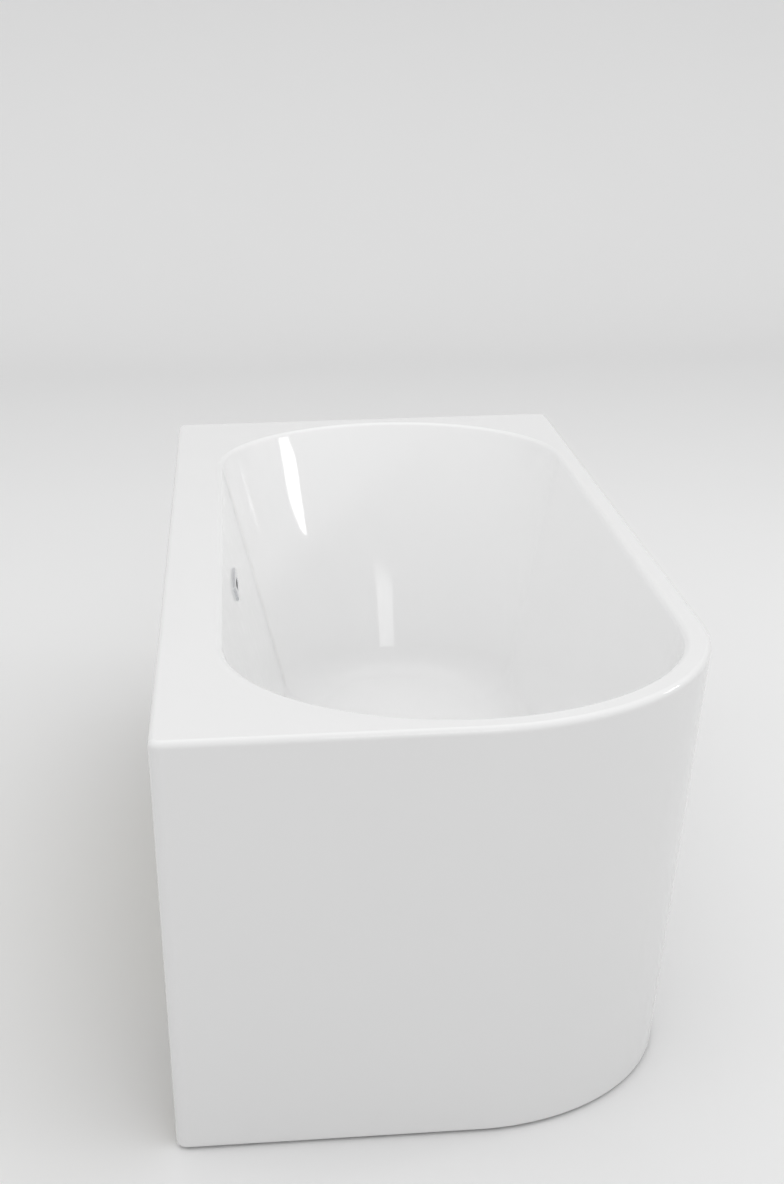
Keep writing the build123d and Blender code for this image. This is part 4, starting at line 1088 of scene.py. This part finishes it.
def drawn_stainless():
    """Drawn stainless steel: a bright satin with fine lines round it, a quarter millimetre apart."""
    dark, pale, squeezed = shade("steel", 0.85), shade("steel"), (40, 40, 4000)
    return uneven("drawn_stainless_steel", dark, pale, (0.15, 0.32), 1, 2, squeezed, Metallic=1.0)[0]


def moulded(name, key, roughness, grain, ior=1.49):
    """Moulded polymer: fine sparked grain, with slightly uneven colour and gloss."""
    gloss = (roughness - 0.08, roughness + 0.08)
    item, tree, shader, spot = uneven(name, shade(key, 0.88), shade(key, 1.04), gloss, 25, 2, IOR=ior)
    # a real grain of about 0.1 mm, drawn three times as coarse so that it shows
    fine = add(tree, "ShaderNodeTexNoise", {"Vector": spot, "Scale": 3000, "Detail": 1})
    relief = {"Height": fine.outputs["Fac"], "Strength": grain, "Distance": 0.1 * MM}
    connect(tree, shader, Normal=add(tree, "ShaderNodeBump", relief).outputs["Normal"])
    return item


def white_polypropylene():
    """Moulded white polypropylene, satin."""
    return moulded("white_polypropylene", "white_plastic", 0.38, 0.2)


def grey_polyethylene():
    """Moulded and extruded grey polyethylene, waxy satin."""
    return moulded("grey_polyethylene", "grey_plastic", 0.45, 0.2, 1.51)


def black_polypropylene():
    """Moulded black polypropylene with a matt grain."""
    return moulded("black_polypropylene", "black_plastic", 0.5, 0.5)


def dark_insert_plastic():
    """Moulded black insert behind the overflow's slot, satin."""
    return moulded("dark_moulded_insert", "black_plastic", 0.4, 0.2)


def moulded_rubber():
    """Moulded black rubber, matt."""
    return moulded("moulded_rubber", "rubber", 0.75, 0.6, 1.52)


FINISHES = {
    "white_acrylic": moulded_acrylic,
    "glass_fibre": laid_glass_fibre,
    "plywood": birch_plywood,
    "softwood": planed_softwood,
    "galvanised_steel": galvanised_steel,
    "zinc_fasteners": zinc_plate,
    "chrome": polished_chrome,
    "white_plastic": white_polypropylene,
    "grey_plastic": grey_polyethylene,
    "black_plastic": black_polypropylene,
    "dark_insert": dark_insert_plastic,
    "black_rubber": moulded_rubber,
    "stainless_steel": drawn_stainless,
}
MADE = {}


def finish(slot):
    """Material of a slot, made on first use."""
    if slot not in MADE:
        MADE[slot] = FINISHES[slot]()
    return MADE[slot]


# Operators


class BATH_OT_tub(bpy.types.Operator):
    """Mould the tub with its basin, rim and lips"""

    bl_idname = "bath.tub"
    bl_label = "Tub"

    def execute(self, context):
        sizes = context.scene.bath_sizes
        tub = piece("tub", [tub_surface(sizes)], "white_acrylic", "bath", ["tub_shell"])
        cut(tub, slot_cutter(sizes, *OVERFLOW_HOLE, 7.4 * MM))
        return {"FINISHED"}


class BATH_OT_skirt(bpy.types.Operator):
    """Mould the skirt on the exposed sides"""

    bl_idname = "bath.skirt"
    bl_label = "Skirt"

    def execute(self, context):
        surfaces = [skirt_surface(context.scene.bath_sizes)]
        piece("skirt", surfaces, "white_acrylic", "bath", ["outer_skirt"])
        return {"FINISHED"}


class BATH_OT_backing(bpy.types.Operator):
    """Lay the glass-fibre backing under the basin"""

    bl_idname = "bath.backing"
    bl_label = "Backing"

    def execute(self, context):
        sizes = context.scene.bath_sizes
        surfaces = [backing_surface(sizes)]
        backing = piece("backing", surfaces, "glass_fibre", "bath", ["glassfibre_backing"])
        wider = [size + 1 * MM for size in OVERFLOW_HOLE]
        cut(backing, slot_cutter(sizes, *wider, 1 * MM))
        return {"FINISHED"}


class BATH_OT_frame(bpy.types.Operator):
    """Weld the steel frame of square tubes and close their ends"""

    bl_idname = "bath.frame"
    bl_label = "Frame"

    def execute(self, context):
        names = ["long_rail_left", "long_rail_right"]
        names += [f"cross_beam_{place_name}" for place_name in ("near", "mid", "far")]
        names += [f"rim_post_{corner}" for corner in ("near_left", "far_left", "end_left", "end_right")]
        for name in names:
            piece(name + "_tube", [tube_surface(*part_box(name))], "galvanised_steel", "bath", [name])
        softened("angle_brackets", "galvanised_steel", "bath", 0.4 * MM)
        softened("tube_end_caps", "black_plastic", "bath", 0.5 * MM)
        return {"FINISHED"}


class BATH_OT_timber(bpy.types.Operator):
    """Cut the board and the battens"""

    bl_idname = "bath.timber"
    bl_label = "Timber"

    def execute(self, context):
        softened("base_board", "plywood", "bath", 0.5 * MM)
        for name in ("rim_batten_long", "rim_batten_short", "skirt_batten_side", "skirt_batten_near"):
            softened(name, "softwood", "bath", 1 * MM)
        return {"FINISHED"}


class BATH_OT_feet(bpy.types.Operator):
    """Turn the levelling feet and their nuts"""

    bl_idname = "bath.feet"
    bl_label = "Levelling feet"

    def execute(self, context):
        sizes = context.scene.bath_sizes
        centres = []
        for number in range(1, 6):
            low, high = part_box(f"foot_pad_{number}")
            x, y = (low.x + high.x) / 2, (low.y + high.y) / 2
            centres.append((x, y))
            stud, pad, foot = f"foot_stud_{number}", f"foot_pad_{number}", f"foot_{number}"
            surfaces = stud_surfaces(x, y, sizes)
            piece(stud + "_screw", surfaces, "zinc_fasteners", foot + "_screw", [stud])
            piece(pad + "_moulding", [pad_surface(x, y)], "black_plastic", foot + "_pad", [pad])
        flats, hole = 19 * MM, 6.3 * MM
        for name in ("weld_nuts", "lock_nuts"):
            low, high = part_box(name)
            surfaces = [nut_surface((x, y, low.z), high.z - low.z, flats, hole) for x, y in centres]
            piece(name + "_hexagons", surfaces, "zinc_fasteners", "bath", [name])
        return {"FINISHED"}


class BATH_OT_fasteners(bpy.types.Operator):
    """Fit the bolts and screws of the frame"""

    bl_idname = "bath.fasteners"
    bl_label = "Fasteners"

    def execute(self, context):
        rails = [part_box(f"long_rail_{side}") for side in ("left", "right")]
        beams = [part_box(f"cross_beam_{name}") for name in ("near", "mid", "far")]
        rail_x = [(low.x + high.x) / 2 for low, high in rails]
        beam_y = [(low.y + high.y) / 2 for low, high in beams]
        low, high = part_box("frame_bolts")
        head_top = beams[0][0].z
        head, flats, bolt, rise = head_top - low.z, 11.2 * MM, 4 * MM, high.z - head_top
        places = [(x, y) for x in rail_x for y in beam_y]
        surfaces = [bolt_surface(x, y, head_top, head, flats, bolt, rise) for x, y in places]
        piece("frame_bolts_hexagons", surfaces, "zinc_fasteners", "bath", ["frame_bolts"])
        low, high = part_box("board_screws")
        under, radius, shank, down = rails[0][0].z, 5 * MM, 2.5 * MM, (0, 0, -1)
        places = [(x, y, under) for x in rail_x for y in (low.y + radius, high.y - radius)]
        screw = (radius, under - low.z, shank, high.z - under)
        surfaces = [screw_surface(centre, down, *screw) for centre in places]
        piece("board_screws_heads", surfaces, "zinc_fasteners", "bath", ["board_screws"])
        softened("bracket_screws", "zinc_fasteners", "bath", 0.7 * MM)
        return {"FINISHED"}


class BATH_OT_drain(bpy.types.Operator):
    """Assemble the drain under the basin"""

    bl_idname = "bath.drain"
    bl_label = "Drain"

    def execute(self, context):
        softened("waste_flange", "chrome", "bath", 0.3 * MM)
        for name in ("waste_top_seal", "waste_lower_seal", "outlet_seal"):
            softened(name, "black_rubber", "bath", 0.3 * MM)
        for name in ("waste_body", "outlet_nut", "hose_nut_top", "hose_nut_bottom"):
            softened(name, "white_plastic", "bath", 0.6 * MM)
        return {"FINISHED"}


class BATH_OT_plug(bpy.types.Operator):
    """Assemble the push plug"""

    bl_idname = "bath.plug"
    bl_label = "Push plug"

    def execute(self, context):
        piece("plug_cap_dome", [cap_surface()], "chrome", "plug", ["plug_cap"])
        softened("plug_seal", "black_rubber", "plug", 0.4 * MM)
        softened("plug_stem", "stainless_steel", "plug", 0.3 * MM)
        softened("plug_cartridge", "white_plastic", "bath", 0.3 * MM)
        spring = piece("plug_spring_coil", [spring_surface()], "stainless_steel", "bath", ["plug_spring"])
        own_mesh(spring)
        return {"FINISHED"}


class BATH_OT_overflow(bpy.types.Operator):
    """Fit the overflow's cover, insert, box and hose"""

    bl_idname = "bath.overflow"
    bl_label = "Overflow"

    def execute(self, context):
        sizes = context.scene.bath_sizes
        surfaces = [overflow_plate_surface(sizes)]
        piece("overflow_cover", surfaces, "chrome", "bath", ["overflow_plate"])
        softened("overflow_insert", "dark_insert", "bath", 0.2 * MM)
        softened("overflow_screws", "stainless_steel", "bath", 0.3 * MM)
        softened("overflow_seal", "black_rubber", "bath", 0.4 * MM)
        softened("overflow_box", "grey_plastic", "bath", 0.8 * MM)
        piece("overflow_hose_ribs", [hose_surface(sizes)], "grey_plastic", "bath", ["overflow_hose"])
        return {"FINISHED"}


# Stage

CAMERA_PLACE = (-0.2512587, -2.899712, 1.4372272)
CAMERA_PITCH = 0.3118197
CAMERA_YAW = 0.0813039
CAMERA_ROLL = -0.0143549
LENS_MM = 56.909
SENSOR_MM = 36
WORLD_LIGHT = 0.9
BACKDROP_GREY = 0.92
BACKDROP_LIGHT = 0.9


def camera_axes():
    """Camera's right, up and forward, from its yaw, then its pitch downwards, then its roll."""
    sin_yaw, cos_yaw = math.sin(CAMERA_YAW), math.cos(CAMERA_YAW)
    sin_pitch, cos_pitch = math.sin(CAMERA_PITCH), math.cos(CAMERA_PITCH)
    level = np.array([sin_yaw, cos_yaw, 0])
    right = np.array([cos_yaw, -sin_yaw, 0])
    upright = np.array([0, 0, 1])
    forward = level * cos_pitch - upright * sin_pitch
    up = level * sin_pitch + upright * cos_pitch
    sin_roll, cos_roll = math.sin(CAMERA_ROLL), math.cos(CAMERA_ROLL)
    return right * cos_roll + up * sin_roll, up * cos_roll - right * sin_roll, forward


def lamp(name, spot, target, width, height, power):
    """Soft white area lamp that looks from its place at a target, unseen by the camera."""
    light = bpy.data.lights.new(name, "AREA")
    light.shape = "RECTANGLE"
    light.size, light.size_y = width, height
    light.energy = power
    item = bpy.data.objects.new(name, light)
    bpy.context.collection.objects.link(item)
    item.location = spot
    item.rotation_euler = (Vector(target) - Vector(spot)).to_track_quat("-Z", "Y").to_euler()
    item.visible_camera = False


class BATH_OT_stage(bpy.types.Operator):
    """Set the floor, the backdrop, the lamps and the camera"""

    bl_idname = "bath.stage"
    bl_label = "Stage"

    def execute(self, context):
        width, front, back, height, bend = 14.0, -9.0, 6.5, 6.0, 2.0
        turn = np.linspace(0, RIGHT_ANGLE, 17)
        way = [(front, 0.0), (back - bend, 0.0)]
        way += [(back - bend + bend * math.sin(t), bend * (1 - math.cos(t))) for t in turn[1:]]
        way.append((back, height))
        rows = [[(-width, y, z), (width, y, z)] for y, z in way]
        points, faces = grid(rows)
        mesh = bpy.data.meshes.new("floor")
        mesh.from_pydata(points.tolist(), [], faces)
        mesh.shade_smooth()
        floor = bpy.data.objects.new("floor", mesh)
        context.collection.objects.link(floor)
        mesh.materials.append(painted_floor())
        set_world(context.scene)
        set_lamps()
        right, up, forward = camera_axes()
        lens = bpy.data.cameras.new("camera")
        lens.sensor_fit = "VERTICAL"
        lens.sensor_height = SENSOR_MM
        lens.lens = LENS_MM
        camera = bpy.data.objects.new("camera", lens)
        context.collection.objects.link(camera)
        turned_axes = Matrix(np.stack([right, up, -forward], axis=1).tolist())
        camera.matrix_world = Matrix.Translation(CAMERA_PLACE) @ turned_axes.to_4x4()
        context.scene.camera = camera
        context.scene.view_settings.view_transform = "Standard"
        return {"FINISHED"}


def seen_share(tree):
    """Output that is 1 for what the camera, a reflection or clear glass sees, and else 0."""
    path = add(tree, "ShaderNodeLightPath")
    seen = path.outputs["Is Camera Ray"]
    for kind in ("Is Glossy Ray", "Is Transmission Ray"):
        either = add(tree, "ShaderNodeMath", {0: seen, 1: path.outputs[kind]}, operation="MAXIMUM")
        seen = either.outputs[0]
    return seen


def painted_floor():
    """Matt painted floor, paler to the camera and in reflections than to the light it throws back."""
    item, tree, shader, spot = surface("painted_floor", Roughness=0.85)
    seen = seen_share(tree)
    cloud = add(tree, "ShaderNodeTexNoise", {"Vector": spot, "Scale": 1.5, "Detail": 2})
    tone = add(
        tree,
        "ShaderNodeMix",
        {0: cloud.outputs["Fac"], 6: shade("floor_seen", 0.985), 7: shade("floor_seen")},
        data_type="RGBA",
    )
    colours = {0: seen, 6: shade("floor"), 7: tone.outputs[2]}
    shown = add(tree, "ShaderNodeMix", colours, data_type="RGBA")
    connect(tree, shader, Base_Color=shown.outputs[2])
    return item


def set_world(scene):
    """Plain light from all round, and a near-white backdrop to the camera and in reflections."""
    world = bpy.data.worlds.new("studio")
    scene.world = world
    world.use_nodes = True
    tree = world.node_tree
    tree.nodes.clear()
    grey = (BACKDROP_GREY, BACKDROP_GREY, BACKDROP_GREY, 1)
    light = add(tree, "ShaderNodeBackground", {"Color": (1, 1, 1, 1), "Strength": WORLD_LIGHT})
    backdrop = add(tree, "ShaderNodeBackground", {"Color": grey, "Strength": BACKDROP_LIGHT})
    shaders = {0: seen_share(tree), 1: light.outputs[0], 2: backdrop.outputs[0]}
    mix = add(tree, "ShaderNodeMixShader", shaders)
    add(tree, "ShaderNodeOutputWorld", {"Surface": mix.outputs[0]})


def set_lamps():
    """Softbox over the far end, a window lamp on the right, and a softbox high behind the camera."""
    lamp("overhead", (0.0, 1.3, 3.4), (0, 0.1, 0.3), width=2.6, height=2.2, power=9)
    lamp("front", (0.5, -3.6, 2.6), (0.1, -0.6, 0.5), width=1.1, height=0.9, power=7)
    lamp("window", (3.0, 0.08, 1.8), (-0.15, 0.7, 0.5), width=0.6, height=0.4, power=6)


OPERATORS = (
    BATH_OT_tub,
    BATH_OT_skirt,
    BATH_OT_backing,
    BATH_OT_frame,
    BATH_OT_timber,
    BATH_OT_feet,
    BATH_OT_fasteners,
    BATH_OT_drain,
    BATH_OT_plug,
    BATH_OT_overflow,
    BATH_OT_stage,
)


class BATH_PT_build(bpy.types.Panel):
    """Panel that lists the pieces of the bath"""

    bl_idname = "BATH_PT_build"
    bl_label = "Bath"
    bl_space_type = "VIEW_3D"
    bl_region_type = "UI"
    bl_category = "Bath"

    def draw(self, context):
        for operator in OPERATORS:
            self.layout.operator(operator.bl_idname)
        for group in (context.scene.bath_sizes, context.scene.bath_colours):
            for key in group.__annotations__:
                self.layout.prop(group, key)


CLASSES = (BathSizes, BathColours, *OPERATORS, BATH_PT_build)


def register():
    """Register the classes and hang the settings on the scene."""
    for item in CLASSES:
        bpy.utils.register_class(item)
    bpy.types.Scene.bath_sizes = PointerProperty(type=BathSizes)
    bpy.types.Scene.bath_colours = PointerProperty(type=BathColours)


def unregister():
    """Take the settings and the classes away again."""
    del bpy.types.Scene.bath_colours
    del bpy.types.Scene.bath_sizes
    for item in reversed(CLASSES):
        bpy.utils.unregister_class(item)


def main():
    register()
    for operator in OPERATORS:
        group, name = operator.bl_idname.split(".")
        getattr(getattr(bpy.ops, group), name)()


if __name__ == "__main__":
    main()
